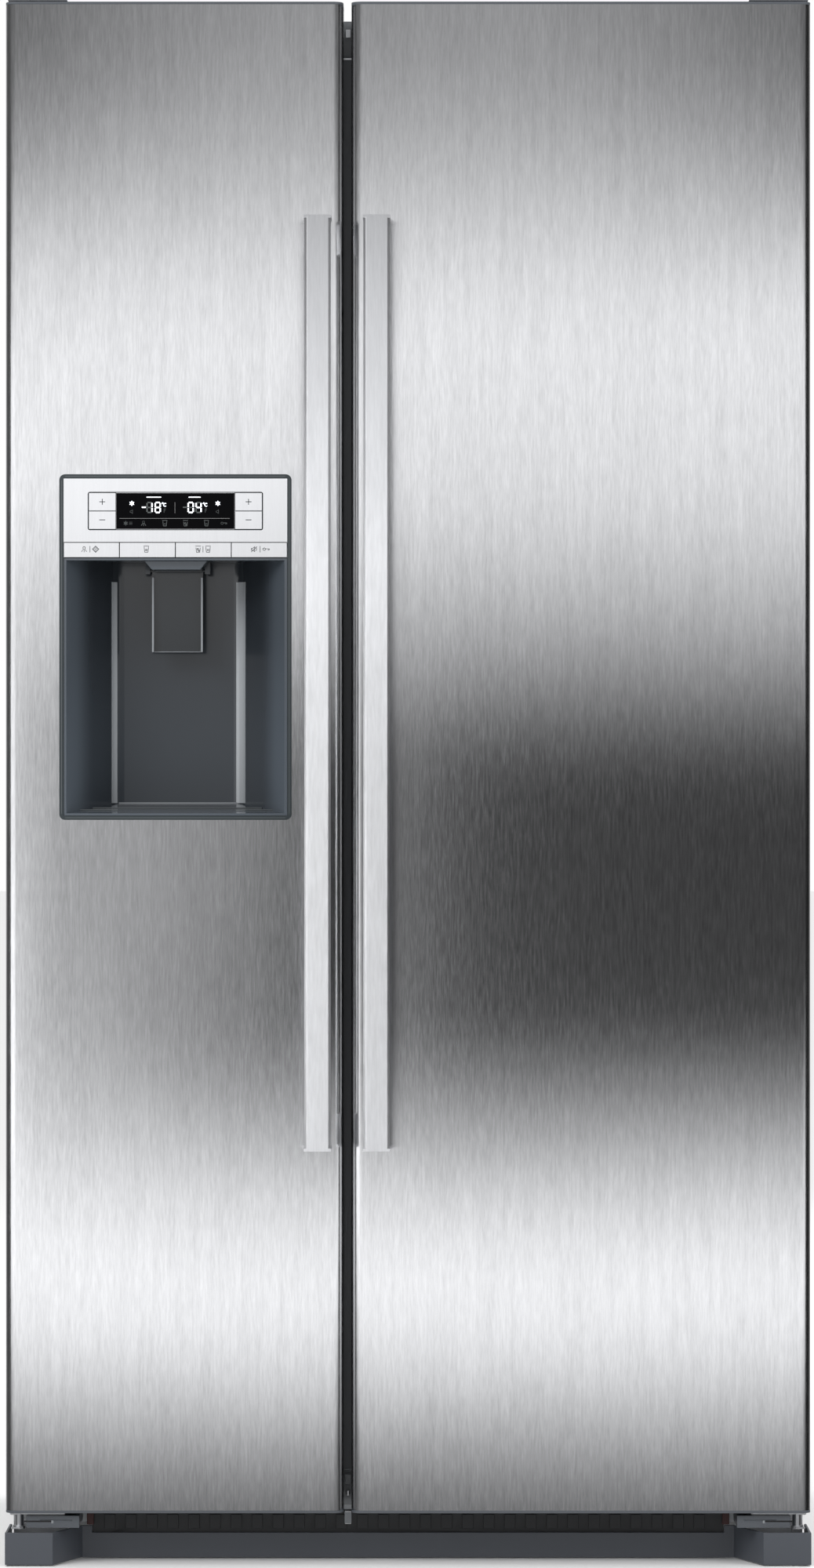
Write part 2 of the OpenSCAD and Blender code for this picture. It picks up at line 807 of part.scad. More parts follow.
module evaporator_fan() {
  color("#3c4043") translate([fan_x, cover_y + 22, fan_z]) rotate([0, 0, 90])
    fan_x_axis(fan_r, fan_hub_r, 7);
}

module shelf(x, z, y1) {
  box([x[0], shelf_y0, z], [x[1], y1, z + shelf_t]);
  box([x[0], shelf_y0 - 6, z - shelf_trim + shelf_t], [x[1], shelf_y0, z + shelf_t]);
}

module freezer_shelves() {
  color("#dfe6e8") for (z = freezer_levels) shelf(freezer_room, z, cover_y);
  color("#dfe6e8") shelf(freezer_room, bucket_z - shelf_t - 0.5, cover_y);
}

module ice_maker() {
  z1 = ceil_z;
  z0 = bucket_z + bucket_h + 30;
  tray_x = [bucket_x0 + 12, bucket_x0 + 92];
  color("#d9dcde") difference() {
    union() {
      box([bucket_x0, bucket_y1 - 150, min(z0 + 60, z1 - 30)], [bucket_x0 + bucket_w - 60, bucket_y1 + 20, z1]);
      box([tray_x[0], bucket_y1 - 290, z0], [tray_x[1], bucket_y1 - 60, min(z0 + 60, z1 - 30)]);
    }
    for (k = [0 : 6])
      box([tray_x[0] + 8, bucket_y1 - 280 + k * 18, z0 + 20], [tray_x[1] - 8, bucket_y1 - 268 + k * 18, z1 + cut]);
  }
}

module ice_bucket() {
  color("#cfe0e6") difference() {
    union() {
      tub([bucket_x0, bucket_y0, bucket_z], [bucket_x0 + bucket_w, bucket_y1, bucket_z + bucket_h], tub_t);
      y_rod(auger_x, bucket_y0, bucket_y0 + 10, auger_z, 14);
      y_rod(auger_x, bucket_y1 - 10, bucket_y1, auger_z, 14);
    }
    y_rod(auger_x, bucket_y0 - cut, bucket_y1 + cut, auger_z, auger_r + run_fit);
    box([auger_x - 26, bucket_y0 + 14, bucket_z - cut], [auger_x + 26, bucket_y0 + 62, bucket_z + tub_t + cut]);
  }
}

module ice_auger() {
  span = bucket_y1 - bucket_y0;
  n = floor((span - 60) / 22);
  color("#c4c8cb") {
    y_rod(auger_x, bucket_y0 + 1, bucket_y1 + 8, auger_z, auger_r);
    for (i = [0 : n]) translate([auger_x, bucket_y0 + 30 + i * 22, auger_z]) rotate([0, i * 60, 0])
      z_rod(0, 0, 0, 36, 3);
  }
}

// Drawer with a grip lip at the front
module drawer(x, z, y1) {
  lo = [x[0] + drawer_gap, drawer_y0, z];
  hi = [x[1] - drawer_gap, y1, z + drawer_h];
  tub(lo, hi, tub_t);
  box([lo[0], lo[1] - 8, hi[2] - 26], [hi[0], lo[1], hi[2]]);
}

module freezer_drawer() {
  color("#dfe7ea") drawer(freezer_room, drawer_z, step_y - 6);
}

// ---- Fridge room

module fridge_shelves() {
  color("#dbe7e4") for (z = fridge_levels) shelf(fridge_room, z, room_back - duct_d);
}

// All glass shelves of both rooms, each a solid of its own
module glass_shelves() {
  freezer_shelves();
  fridge_shelves();
}

module crisper_upper() {
  color("#dbe7ea") drawer(fridge_room, crisper_z, room_back - duct_d - 6);
}

module crisper_lower() {
  color("#dbe7ea") drawer(fridge_room, drawer_z, step_y - 6);
}

module air_duct() {
  mid = (fridge_room[0] + fridge_room[1]) / 2;
  color("#e9ecee") difference() {
    box([mid - 62, room_back - duct_d, step_z], [mid + 62, room_back, ceil_z]);
    box([mid - 59, room_back - duct_d + 3, step_z + 3], [mid + 59, room_back + cut, ceil_z - 3]);
    for (z = fridge_levels, k = [0 : 2])
      box([mid - 40, room_back - duct_d - cut, z + 60 + k * 16], [mid + 40, room_back - duct_d + 3 + cut, z + 66 + k * 16]);
  }
}

// ---- Doors

// Hollow in a door's body for the hinge pins, above and below
module pin_cuts(side) {
  z_rod(side * pin_x, pin_y, door_bottom - cut, door_bottom + pin_l + 6, bore_r + 4);
  z_rod(side * pin_x, pin_y, door_top - pin_l - 6, door_top + cut, bore_r + 4);
}

module door_skin(x0, x1) {
  difference() {
    xy_prism(door_plan(x0, x1, door_back_y - liner_t, 0), skin_z0, skin_z1);
    xy_prism(door_plan(x0, x1, door_back_y + cut, sheet), skin_z0 - cut, skin_z1 + cut);
  }
}

module door_foam(x0, x1, side) {
  difference() {
    xy_prism(door_plan(x0, x1, door_back_y - liner_t, sheet), skin_z0, skin_z1);
    pin_cuts(side);
  }
}

// Both end caps of a door, each with the bush that a hinge pin turns in
module door_caps(x0, x1, side) {
  difference() {
    for (z = [door_bottom, skin_z1]) xy_prism(door_plan(x0, x1, door_back_y, 0), z, z + cap_h);
    pin_cuts(side);
  }
  bush = [[door_bottom, door_bottom + pin_l + 4], [door_top - pin_l - 4, door_top]];
  for (b = bush) difference() {
    z_rod(side * pin_x, pin_y, b[0], b[1], bore_r + 4);
    z_rod(side * pin_x, pin_y, b[0] - cut, b[1] + cut, bore_r);
  }
}

// Inner plate of a door
module door_liner(x0, x1) {
  box([x0, door_back_y - liner_t, skin_z0], [x1, door_back_y, skin_z1]);
}

// Upright ridges that hold a door's bins, over each span of heights
module bin_rails(ridge_x, spans) {
  for (x = ridge_x, s = spans)
    box([x, door_back_y, s[0]], [x + ridge_w, door_back_y + gasket_t + ridge_d, s[1]]);
}

module door_gasket(x0, x1) {
  ring_box([x0, door_back_y, gasket_z0], [x1, cab_front - seam, gasket_z1], gasket_w);
}

module handle(x) {
  z1 = door_top - handle_drop;
  z0 = z1 - handle_l;
  half = handle_w / 2;
  plan = [[x - half, front_y + handle_t], [x - half, front_y + handle_chamfer],
    [x - half + handle_chamfer, front_y], [x + half - handle_chamfer, front_y],
    [x + half, front_y + handle_chamfer], [x + half, front_y + handle_t]];
  xy_prism(plan, z0 + handle_cap, z1 - handle_cap);
  for (z = [z0 + handle_cap, z1 - handle_cap - handle_foot])
    box([x - half + 3, front_y + handle_t, z], [x + half - 3, face_y, z + handle_foot]);
  for (z = [z0, z1 - handle_cap])
    box([x - half - handle_cap_out, front_y, z], [x + half + handle_cap_out, face_y, z + handle_cap]);
}

// Free-edge reach that clears the room's wall while a door opens, seen from the pin
function swing_reach(wall, deep) = sqrt(pow(wall - 3, 2) - pow(deep, 2) + pow(cab_front - pin_y, 2));

ridge_deep = cab_front + ridge_d - pin_y;
bin_deep = door_back_y + slack + bin_d - pin_y;
freezer_wall = freezer_room[1] + pin_x;
fridge_wall = pin_x - fridge_room[0];
freezer_ridges = [freezer_room[0] + 7, swing_reach(freezer_wall, ridge_deep) - pin_x - ridge_w];
fridge_ridges = [pin_x - swing_reach(fridge_wall, ridge_deep), fridge_room[1] - 7 - ridge_w];
freezer_bin_x = [freezer_ridges[0] + ridge_w + slack,
  min(freezer_ridges[1] - slack, swing_reach(freezer_wall, bin_deep) - pin_x)];
fridge_bin_x = [max(fridge_ridges[0] + ridge_w + slack, pin_x - swing_reach(fridge_wall, bin_deep)),
  fridge_ridges[1] - slack];

module bins(x, levels) {
  for (z = levels)
    tub([x[0], door_back_y + slack, z], [x[1], door_back_y + slack + bin_d, z + bin_h], tub_t);
}

// Hollow in the freezer door for the dispenser, grown by g
module dispenser_hollow(g) {
  box([open_x0 - g, face_y - cut, open_z0 - g], [open_x1 + g, recess_y + g, panel_z1 + g]);
  box([disp_mid - chute_w / 2 - chute_t - g, chute_y - g, keys_z0],
      [disp_mid + chute_w / 2 + chute_t + g, chute_y + chute_d + g, chute_z1 + g]);
  box([disp_mid - chute_w / 2 - chute_t - g, chute_y - g, chute_z1 - 40 - chute_t - g],
      [disp_mid + chute_w / 2 + chute_t + g, bulge_y + 30, chute_z1 + g]);
}

module freezer_door_skin() {
  color("#b8bbbd") difference() {
    door_skin(freezer_x0, freezer_x1);
    box([open_x0, face_y - cut, open_z0], [open_x1, face_y + sheet + cut, panel_z1]);
  }
}

module freezer_door_foam() {
  color("#e8d9a0") difference() {
    door_foam(freezer_x0, freezer_x1, -1);
    dispenser_hollow(housing_t);
  }
}

// Room for the dispenser's back, grown by g, from y0 to y1
module bulge_room(g, y0, y1) {
  box([open_x0 - 5.5 - g, y0, bulge_z0 + 2.5 - g], [open_x1 + 5.5 + g, y1, bulge_z1 - 2.5 + g]);
}

module freezer_door_liner() {
  color("#eef0f1") difference() {
    door_liner(freezer_x0 + sheet, freezer_x1 - sheet);
    bulge_room(0, door_back_y - liner_t - cut, door_back_y + cut);
  }
}

module freezer_bin_rails() {
  color("#eef0f1") bin_rails(freezer_ridges,
    [[freezer_bins_from - ridge_lead, bulge_z0 - slack], [bulge_z1 + slack, ceil_z - 16]]);
}

module dispenser_back_rim() {
  color("#eef0f1") difference() {
    bulge_room(2.5, door_back_y, bulge_y);
    bulge_room(0, door_back_y - cut, bulge_y + cut);
  }
}

module dispenser_back_plate() {
  color("#eef0f1") difference() {
    bulge_room(2.5, bulge_y, bulge_y + liner_t);
    box([disp_mid - chute_w / 2, bulge_y - cut, chute_z1 - 40], [disp_mid + chute_w / 2, bulge_y + 9, chute_z1 - chute_t]);
  }
}

module freezer_door_gasket() {
  color("#d4d6d8") door_gasket(-pin_x + 2, freezer_x1 - gasket_inset);
}

module freezer_door_caps() {
  color("#5c6166") door_caps(freezer_x0, freezer_x1, -1);
}

module freezer_handle() {
  color("#c9ccce") handle(freezer_x1 - handle_inset);
}

module freezer_bins() {
  color("#d6e3e8") bins(freezer_bin_x, freezer_bin_levels);
}

module fridge_door_skin() {
  color("#b8bbbd") door_skin(fridge_x0, fridge_x1);
}

module fridge_door_foam() {
  color("#e8d9a0") door_foam(fridge_x0, fridge_x1, 1);
}

module fridge_door_liner() {
  color("#eef0f1") door_liner(fridge_x0 + sheet, fridge_x1 - sheet);
}

module fridge_bin_rails() {
  color("#eef0f1") bin_rails(fridge_ridges, [[fridge_bins_from - ridge_lead, ceil_z - 16]]);
}

module fridge_door_gasket() {
  color("#d4d6d8") door_gasket(fridge_x0 + gasket_inset, pin_x - 2);
}

module fridge_door_caps() {
  color("#5c6166") door_caps(fridge_x0, fridge_x1, 1);
}

module fridge_handle() {
  color("#c9ccce") handle(fridge_x0 + handle_inset);
}

module fridge_bins() {
  color("#d6e3e8") bins(fridge_bin_x, fridge_bin_levels);
}

// ---- Dispenser

module dispenser_frame() {
  color("#4b5156") difference() {
    xz_prism(rounded(disp_x0, disp_z0, disp_x1, disp_z1, disp_r), face_y - disp_proud, face_y);
    box([open_x0, face_y - disp_proud - cut, open_z0], [open_x1, face_y + cut, panel_z1]);
  }
}

// Plan of the recess: sides slope in to a back wall with round corners
function recess_plan(t, front) = let (x0 = open_x0 + housing_t - t, x1 = open_x1 - housing_t + t,
    y1 = recess_y + t, r = recess_r + t, b0 = x0 + recess_slope, b1 = x1 - recess_slope)
  concat([[x1, front]], arc(b1 - r, y1 - r, r, 20, 90, 6), arc(b0 + r, y1 - r, r, 90, 160, 6),
    [[x0, front]]);

module dispenser_housing() {
  ear_x = paddle_w / 2 + 1;
  floor_rise = 11;
  color("#363b40") difference() {
    union() {
      difference() {
        xy_prism(recess_plan(housing_t, face_y), open_z0, recess_z1);
        xy_prism(recess_plan(0, face_y - cut), open_z0 + housing_t, recess_z1 - housing_t);
      }
      intersection() {
        xy_prism(recess_plan(0, face_y), open_z0, recess_z1);
        yz_prism([[face_y, open_z0], [recess_y, open_z0], [recess_y, open_z0 + housing_t + floor_rise],
          [face_y, open_z0 + housing_t]], open_x0, open_x1);
      }
      for (s = [-1, 1])
        box([disp_mid + s * (ear_x + 3) - 3, paddle_y - 6, paddle_z - 4],
            [disp_mid + s * (ear_x + 3) + 3, paddle_y + 6, recess_z1 - housing_t]);
    }
    x_rod(disp_mid - ear_x - 5, disp_mid + ear_x + 5, paddle_y, paddle_z, paddle_pin_r + run_fit);
    box([disp_mid - chute_w / 2 - chute_t, chute_y, recess_z1 - housing_t - cut],
        [disp_mid + chute_w / 2 + chute_t, chute_y + chute_d, recess_z1 + cut]);
  }
}

module ice_chute() {
  w = chute_w / 2 + chute_t;
  low = recess_z1 - housing_t - nozzle_h;
  top = recess_z1 - housing_t;
  color("#42484d") difference() {
    union() {
      box([disp_mid - w, chute_y, top], [disp_mid + w, chute_y + chute_d, chute_z1]);
      xz_prism([[disp_mid - w, low], [disp_mid + w, low], [disp_mid + w + 8, top], [disp_mid - w - 8, top]],
        chute_y - 8, chute_y + chute_d + 1);
      box([disp_mid - w, chute_y, chute_z1 - 40 - chute_t], [disp_mid + w, bulge_y - slack, chute_z1]);
    }
    box([disp_mid - chute_w / 2, chute_y + chute_t, low - cut],
        [disp_mid + chute_w / 2, chute_y + chute_d - chute_t, chute_z1 - chute_t]);
    box([disp_mid - chute_w / 2, chute_y + chute_t, chute_z1 - 40],
        [disp_mid + chute_w / 2, bulge_y + cut, chute_z1 - chute_t]);
  }
}

// Plate with side flanges, hung from two stub pins
module paddle() {
  half = paddle_w / 2 - 1;
  color("#2d3236") union() {
    box([disp_mid - half, paddle_y - paddle_t / 2, paddle_z - paddle_h],
        [disp_mid + half, paddle_y + paddle_t / 2, paddle_z + 4]);
    for (s = [-1, 1])
      box([disp_mid + s * (half - 1.25) - 1.25, paddle_y - 9, paddle_z - paddle_h],
          [disp_mid + s * (half - 1.25) + 1.25, paddle_y, paddle_z - 6]);
    x_rod(disp_mid - half - 5, disp_mid + half + 5, paddle_y, paddle_z, paddle_pin_r);
  }
}

rocker_x = [disp_mid - display_w / 2 - key_gap - rocker_w, disp_mid + display_w / 2 + key_gap];

// Window through the control panel, with a gap g round the piece in it
module panel_window(x0, x1, z0, z1, g) {
  box([x0 - g, panel_y - cut, z0 - g], [x1 + g, carrier_y + carrier_t + cut, z1 + g]);
}

module control_panel() {
  color("#c4c7ca") difference() {
    union() {
      box([open_x0, panel_y, panel_z0], [open_x1, carrier_y, panel_z1]);
      box([open_x0, carrier_y, keys_z0], [open_x1, carrier_y + carrier_t, panel_z1]);
      for (x = rocker_x, side = [-3.4, rocker_w + 0.9])
        box([x + side, carrier_y + carrier_t, rocker_z - 4],
            [x + side + 2.5, rocker_pin_y + 3, rocker_z + 4]);
    }
    box([disp_mid - display_w / 2, panel_y - cut, display_z0],
        [disp_mid + display_w / 2, carrier_y, display_z1]);
    for (x = rocker_x) {
      panel_window(x, x + rocker_w, display_z0, display_z1, rocker_gap);
      x_rod(x - 2.9, x + rocker_w + 2.9, rocker_pin_y, rocker_z, rocker_pin_r + run_fit);
    }
    for (i = [0 : key_n - 1])
      box([open_x0 + (i + 0.5) * key_pitch - 12 - slack, carrier_y - cut, keys_z0 + key_row_h / 2 - 3 - slack],
          [open_x0 + (i + 0.5) * key_pitch + 12 + slack, carrier_y + carrier_t + cut, keys_z0 + key_row_h / 2 + 3 + slack]);
  }
}

module display_window() {
  color("#101215") box([disp_mid - display_w / 2, panel_y - 0.1, display_z0],
    [disp_mid + display_w / 2, carrier_y, display_z1]);
}

// Rocker that tips about its middle; its back narrows so that it clears the panel
module rocker(x) {
  half = display_h / 2;
  color("#c4c7ca") union() {
    yz_prism([[panel_y - 0.4, rocker_z - half], [panel_y - 0.4, rocker_z + half],
      [panel_y + 1.6, rocker_z + half], [rocker_pin_y + 2, rocker_z + 4],
      [rocker_pin_y + 2, rocker_z - 4], [panel_y + 1.6, rocker_z - half]], x, x + rocker_w);
    x_rod(x - 2.6, x + rocker_w + 2.6, rocker_pin_y, rocker_z, rocker_pin_r);
  }
}

module rocker_left() {
  rocker(rocker_x[0]);
}

module rocker_right() {
  rocker(rocker_x[1]);
}

module function_key(i) {
  x0 = open_x0 + i * key_pitch + key_gap / 2;
  mid = open_x0 + (i + 0.5) * key_pitch;
  mid_z = keys_z0 + key_row_h / 2;
  color("#c4c7ca") union() {
    box([x0, panel_y - 0.4, keys_z0], [x0 + key_pitch - key_gap, carrier_y - key_travel - 0.4, keys_z0 + key_row_h]);
    box([mid - 12, carrier_y - key_travel - 0.4, mid_z - 3], [mid + 12, carrier_y + carrier_t + 3, mid_z + 3]);
  }
}

module function_key_1() {
  function_key(0);
}

module function_key_2() {
  function_key(1);
}

module function_key_3() {
  function_key(2);
}

module function_key_4() {
  function_key(3);
}

cabinet_shell();
cabinet_foam();
freezer_liner();
fridge_liner();
mullion_cover();
rear_panels();
base_frame();
base_grille();
toe_panel();
door_hinges();
hinge_covers();
screws();
glass_shelves();
compressor();
coils();
condenser_fan();
evaporator_cover();
evaporator_fan();
ice_maker();
ice_bucket();
ice_auger();
freezer_drawer();
crisper_upper();
crisper_lower();
air_duct();
rear_fittings();
foot_left();
foot_right();
roller_left();
roller_right();
freezer_door_skin();
freezer_door_foam();
freezer_door_liner();
freezer_bin_rails();
dispenser_back_rim();
dispenser_back_plate();
freezer_door_gasket();
freezer_door_caps();
freezer_handle();
freezer_bins();
dispenser_frame();
dispenser_housing();
control_panel();
display_window();
rocker_left();
rocker_right();
function_key_1();
function_key_2();
function_key_3();
function_key_4();
ice_chute();
paddle();
fridge_door_skin();
fridge_door_foam();
fridge_door_liner();
fridge_bin_rails();
fridge_door_gasket();
fridge_door_caps();
fridge_handle();
fridge_bins();
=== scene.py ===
import json
import math
import bmesh
import bpy
import numpy as np
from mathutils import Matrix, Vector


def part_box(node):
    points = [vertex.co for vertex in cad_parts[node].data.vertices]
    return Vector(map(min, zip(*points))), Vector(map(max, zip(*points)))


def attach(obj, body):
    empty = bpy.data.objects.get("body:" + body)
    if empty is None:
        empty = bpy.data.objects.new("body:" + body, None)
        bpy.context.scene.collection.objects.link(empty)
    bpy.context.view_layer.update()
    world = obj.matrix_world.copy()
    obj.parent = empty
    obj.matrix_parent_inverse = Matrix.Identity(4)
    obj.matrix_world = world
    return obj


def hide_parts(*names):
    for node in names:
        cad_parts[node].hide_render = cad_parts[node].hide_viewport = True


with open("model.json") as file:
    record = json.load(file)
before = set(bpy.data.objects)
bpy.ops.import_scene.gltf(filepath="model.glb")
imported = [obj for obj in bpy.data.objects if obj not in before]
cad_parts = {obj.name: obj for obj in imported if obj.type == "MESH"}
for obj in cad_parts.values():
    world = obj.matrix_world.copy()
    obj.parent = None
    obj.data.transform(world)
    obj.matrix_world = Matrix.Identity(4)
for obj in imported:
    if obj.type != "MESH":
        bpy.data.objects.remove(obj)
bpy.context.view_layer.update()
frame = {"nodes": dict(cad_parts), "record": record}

nodes = frame["nodes"]
bodyOf = {n: b for b, members in frame["record"]["behaviour"]["bodies"].items() for n in members}
print("frame loaded")


# Camera: level, in front of the doors, at half height
camera = {"distance": 6.4, "aimX": -0.00124, "aimZ": 0.883, "fieldHeight": 1.7694, "sensor": 36.0}
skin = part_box("fridge_door_skin")
faceY = skin[0][1]      # the doors' front plane

camData = bpy.data.cameras.new("camera")
camData.sensor_width = camera["sensor"]
camData.lens = camera["sensor"] * camera["distance"] / camera["fieldHeight"]
cam = bpy.data.objects.new("camera", camData)
cam.location = (camera["aimX"], faceY - camera["distance"], camera["aimZ"])
cam.rotation_euler = (math.pi / 2, 0, 0)
bpy.context.scene.collection.objects.link(cam)
bpy.context.scene.camera = cam


# Shader maths
class Wire:     # a socket that takes part in sums
    def __init__(self, graph, socket):
        self.graph, self.socket = graph, socket

    def maths(self, operation, first, second=0.0):
        return self.graph.node("ShaderNodeMath", {"operation": operation}, {0: first, 1: second})

    def __add__(self, other):
        return self.maths("ADD", self, other)

    def __radd__(self, other):
        return self.maths("ADD", other, self)

    def __sub__(self, other):
        return self.maths("SUBTRACT", self, other)

    def __rsub__(self, other):
        return self.maths("SUBTRACT", other, self)

    def __mul__(self, other):
        return self.maths("MULTIPLY", self, other)

    def __rmul__(self, other):
        return self.maths("MULTIPLY", other, self)

    def __truediv__(self, other):
        return self.maths("DIVIDE", self, other)


class Graph:
    def __init__(self, tree):
        self.tree = tree

    # settings go on the node first, then the sockets get their values or links
    def node(self, kind, settings=None, inputs=None, out=0):
        made = self.tree.nodes.new(kind)
        for name, value in (settings or {}).items():
            if name == "stops":
                ramp = made.color_ramp.elements
                while len(ramp) > 1:
                    ramp.remove(ramp[0])
                for i, (place, colour) in enumerate(value):
                    stop = ramp[0] if i == 0 else ramp.new(place)
                    stop.position = place
                    stop.color = colour if isinstance(colour, tuple) else (colour, colour, colour, 1)
            else:
                setattr(made, name, value)
        for key, value in (inputs or {}).items():
            if isinstance(value, Wire):
                self.tree.links.new(value.socket, made.inputs[key])
            else:
                made.inputs[key].default_value = value
        return Wire(self, made.outputs[out])

    def position(self):
        return self.node("ShaderNodeTexCoord", out=3)

    def axes(self):
        place = self.position()
        return [self.node("ShaderNodeSeparateXYZ", inputs={0: place}, out=i) for i in range(3)]

    # noise over object coordinates, repeats per metre along each axis
    def noise(self, perMetre, detail=2.0, roughness=0.5):
        spot = self.node("ShaderNodeMapping", inputs={"Vector": self.position(), "Scale": perMetre})
        return self.node("ShaderNodeTexNoise", inputs={"Vector": spot, "Scale": 1.0, "Detail": detail,
                                                       "Roughness": roughness})

    # toLow below the first value, toHigh above the second, smooth between
    def spread(self, value, low, high, toLow=0.0, toHigh=1.0):
        return self.node("ShaderNodeMapRange", {"interpolation_type": "SMOOTHSTEP"},
                         {0: value, 1: low, 2: high, 3: toLow, 4: toHigh})

    def tint(self, colour, amount):    # colour times a number
        return self.node("ShaderNodeVectorMath", {"operation": "SCALE"}, {0: colour[:3], 3: amount})

    def bump(self, height, distance, strength=1.0):
        return self.node("ShaderNodeBump", inputs={"Height": height, "Distance": distance,
                                                   "Strength": strength})


def surface(name, recipe, **fixed):
    made = bpy.data.materials.new(name)
    made.use_nodes = True
    graph = Graph(made.node_tree)
    shader = made.node_tree.nodes["Principled BSDF"]
    for key, value in {**fixed, **recipe(graph)}.items():
        if isinstance(value, Wire):
            made.node_tree.links.new(value.socket, shader.inputs[key])
        else:
            shader.inputs[key].default_value = value
    return made


# Brushed metal: streaks along Z vary the tone, the roughness and a shallow bump
def brushed(name, colour, rough, streak, aniso, coarse=1.0):
    def recipe(g):
        fine = g.noise((430 * coarse, 430 * coarse, 42), 3.0, 0.6)
        broad = g.noise((120 * coarse, 120 * coarse, 9.0), 2.0)
        tone = 1 + (fine - 0.5) * streak + (broad - 0.5) * (streak * 0.5)
        return {"Base Color": g.tint(colour, tone),
                "Roughness": rough + (fine - 0.5) * 0.12,
                "Normal": g.bump(fine, 0.00012, 0.35)}
    return surface(name, recipe, Metallic=1.0, Anisotropic=aniso)


# Moulded plastic: a fine pebble grain and slight mottling
def moulded(name, colour, rough, grain=0.5, scale=900, spec=0.5, coat=0.0, **extra):
    def recipe(g):
        pebble = g.noise((scale, scale, scale), 2.0)
        cloud = g.noise((7, 7, 7), 3.0)
        return {"Base Color": g.tint(colour, 0.94 + cloud * 0.12),
                "Roughness": rough + (cloud - 0.5) * 0.10,
                "Normal": g.bump(pebble, 0.00008, grain)}
    fixed = {"Specular IOR Level": spec, "Coat Weight": coat}
    return surface(name, recipe, **{**fixed, **extra})


def painted(name, colour, rough, peel=0.25):
    def recipe(g):
        orange = g.noise((260, 260, 260), 2.0)
        cloud = g.noise((3, 3, 3), 3.0)
        return {"Base Color": g.tint(colour, 0.95 + cloud * 0.1),
                "Roughness": rough + (cloud - 0.5) * 0.12,
                "Normal": g.bump(orange, 0.00025, peel)}
    return surface(name, recipe)


# Galvanised sheet: crystals of slightly different tone
def spangled(name, colour, rough):
    def recipe(g):
        spot = g.node("ShaderNodeMapping", inputs={"Vector": g.position(), "Scale": (95, 95, 95)})
        cell = g.node("ShaderNodeTexVoronoi", inputs={"Vector": spot, "Scale": 1.0}, out=1)
        grey = g.node("ShaderNodeRGBToBW", inputs={0: cell})
        return {"Base Color": g.tint(colour, 0.86 + grey * 0.26), "Roughness": rough + (grey - 0.5) * 0.18}
    return surface(name, recipe, Metallic=0.85)


# Clear plastic or glass: see-through by its alpha, a little denser in places
def clear(name, colour, alpha, rough):
    def recipe(g):
        cloud = g.noise((9, 9, 9), 2.0)
        ripple = g.noise((60, 60, 8), 2.0)
        return {"Base Color": g.tint(colour, 0.94 + cloud * 0.1), "Alpha": alpha + (cloud - 0.5) * 0.06,
                "Roughness": rough + (ripple - 0.5) * 0.06, "Normal": g.bump(ripple, 0.0003, 0.2)}
    return surface(name, recipe, **{"Specular IOR Level": 0.6})


# The recess: dark gloss, with painted reflections: paler towards the front of its sides and towards its floor
recessPaintedLight = {"front": (-0.262, -0.300), "low": (1.08, 0.90)}


def recessWithPaintedLight(name, colour):
    def recipe(g):
        _, y, z = g.axes()
        front = g.spread(y, *recessPaintedLight["front"])
        low = g.spread(z, *recessPaintedLight["low"])
        pebble = g.noise((500, 500, 500), 2.0)
        cloud = g.noise((6, 6, 6), 3.0)
        # the front and low terms are painted light, standing in for the room reflected in the glossy walls
        return {"Base Color": g.tint(colour, 0.8 + front * 1.5 + low * 0.55 + cloud * 0.2),
                "Roughness": 0.16 + (cloud - 0.5) * 0.1, "Normal": g.bump(pebble, 0.00008, 0.1)}
    return surface(name, recipe, **{"Coat Weight": 0.25})


finishes = {
    "strip_grey": moulded("strip grey", (0.16, 0.17, 0.185), 0.35),
    "paddle_plastic": moulded("paddle plastic", (0.013, 0.016, 0.019), 0.14, 0.08, 500, coat=0.3),
    "frame_plastic": moulded("frame plastic", (0.022, 0.03, 0.034), 0.3, 0.2),
    "painted_steel": painted("cabinet paint", (0.27, 0.28, 0.295), 0.42),
    "galvanised": spangled("galvanised sheet", (0.56, 0.58, 0.60), 0.42),
    "rigid_foam": moulded("rigid foam", (0.80, 0.70, 0.42), 0.9, 1.0, 300),
    "liner_plastic": moulded("liner plastic", (0.80, 0.82, 0.84), 0.30, 0.15),
    "grey_plastic": moulded("grey plastic", (0.075, 0.083, 0.095), 0.38),
    "plinth_plastic": moulded("plinth plastic", (0.062, 0.069, 0.082), 0.46, 0.7, 700),
    "black_plastic": moulded("black plastic", (0.012, 0.013, 0.015), 0.45),
    "hinge_steel": brushed("zinc plated steel", (0.62, 0.63, 0.65), 0.30, 0.10, 0.2),
    "black_enamel": painted("black enamel", (0.008, 0.008, 0.009), 0.22),
    "coil_metal": brushed("coil aluminium", (0.58, 0.60, 0.62), 0.36, 0.15, 0.0),
    "door_steel": brushed("brushed door steel", (0.62, 0.622, 0.632), 0.165, 0.50, 0.82),
    "handle_steel": brushed("brushed handle steel", (0.60, 0.605, 0.62), 0.36, 0.30, 0.92),
    "gasket_rubber": moulded("gasket rubber", (0.30, 0.31, 0.32), 0.62, 0.3),
    "clear_plastic": clear("clear plastic", (0.72, 0.84, 0.90), 0.34, 0.08),
    "shelf_glass": clear("shelf glass", (0.62, 0.82, 0.76), 0.30, 0.04),
    "recess_plastic": recessWithPaintedLight("recess plastic with painted light", (0.026, 0.031, 0.037)),
    "panel_silver": brushed("panel silver", (0.80, 0.805, 0.82), 0.30, 0.12, 0.6),
    "display_glass": moulded("display glass", (0.002, 0.002, 0.0025), 0.25, 0.02, spec=0.03),
    "white_plastic": moulded("white plastic", (0.74, 0.75, 0.76), 0.36, 0.3),
    "roller_nylon": moulded("roller nylon", (0.03, 0.03, 0.032), 0.5),
    "foot_plastic": moulded("foot plastic", (0.035, 0.037, 0.04), 0.5),
}
print("finishes made")


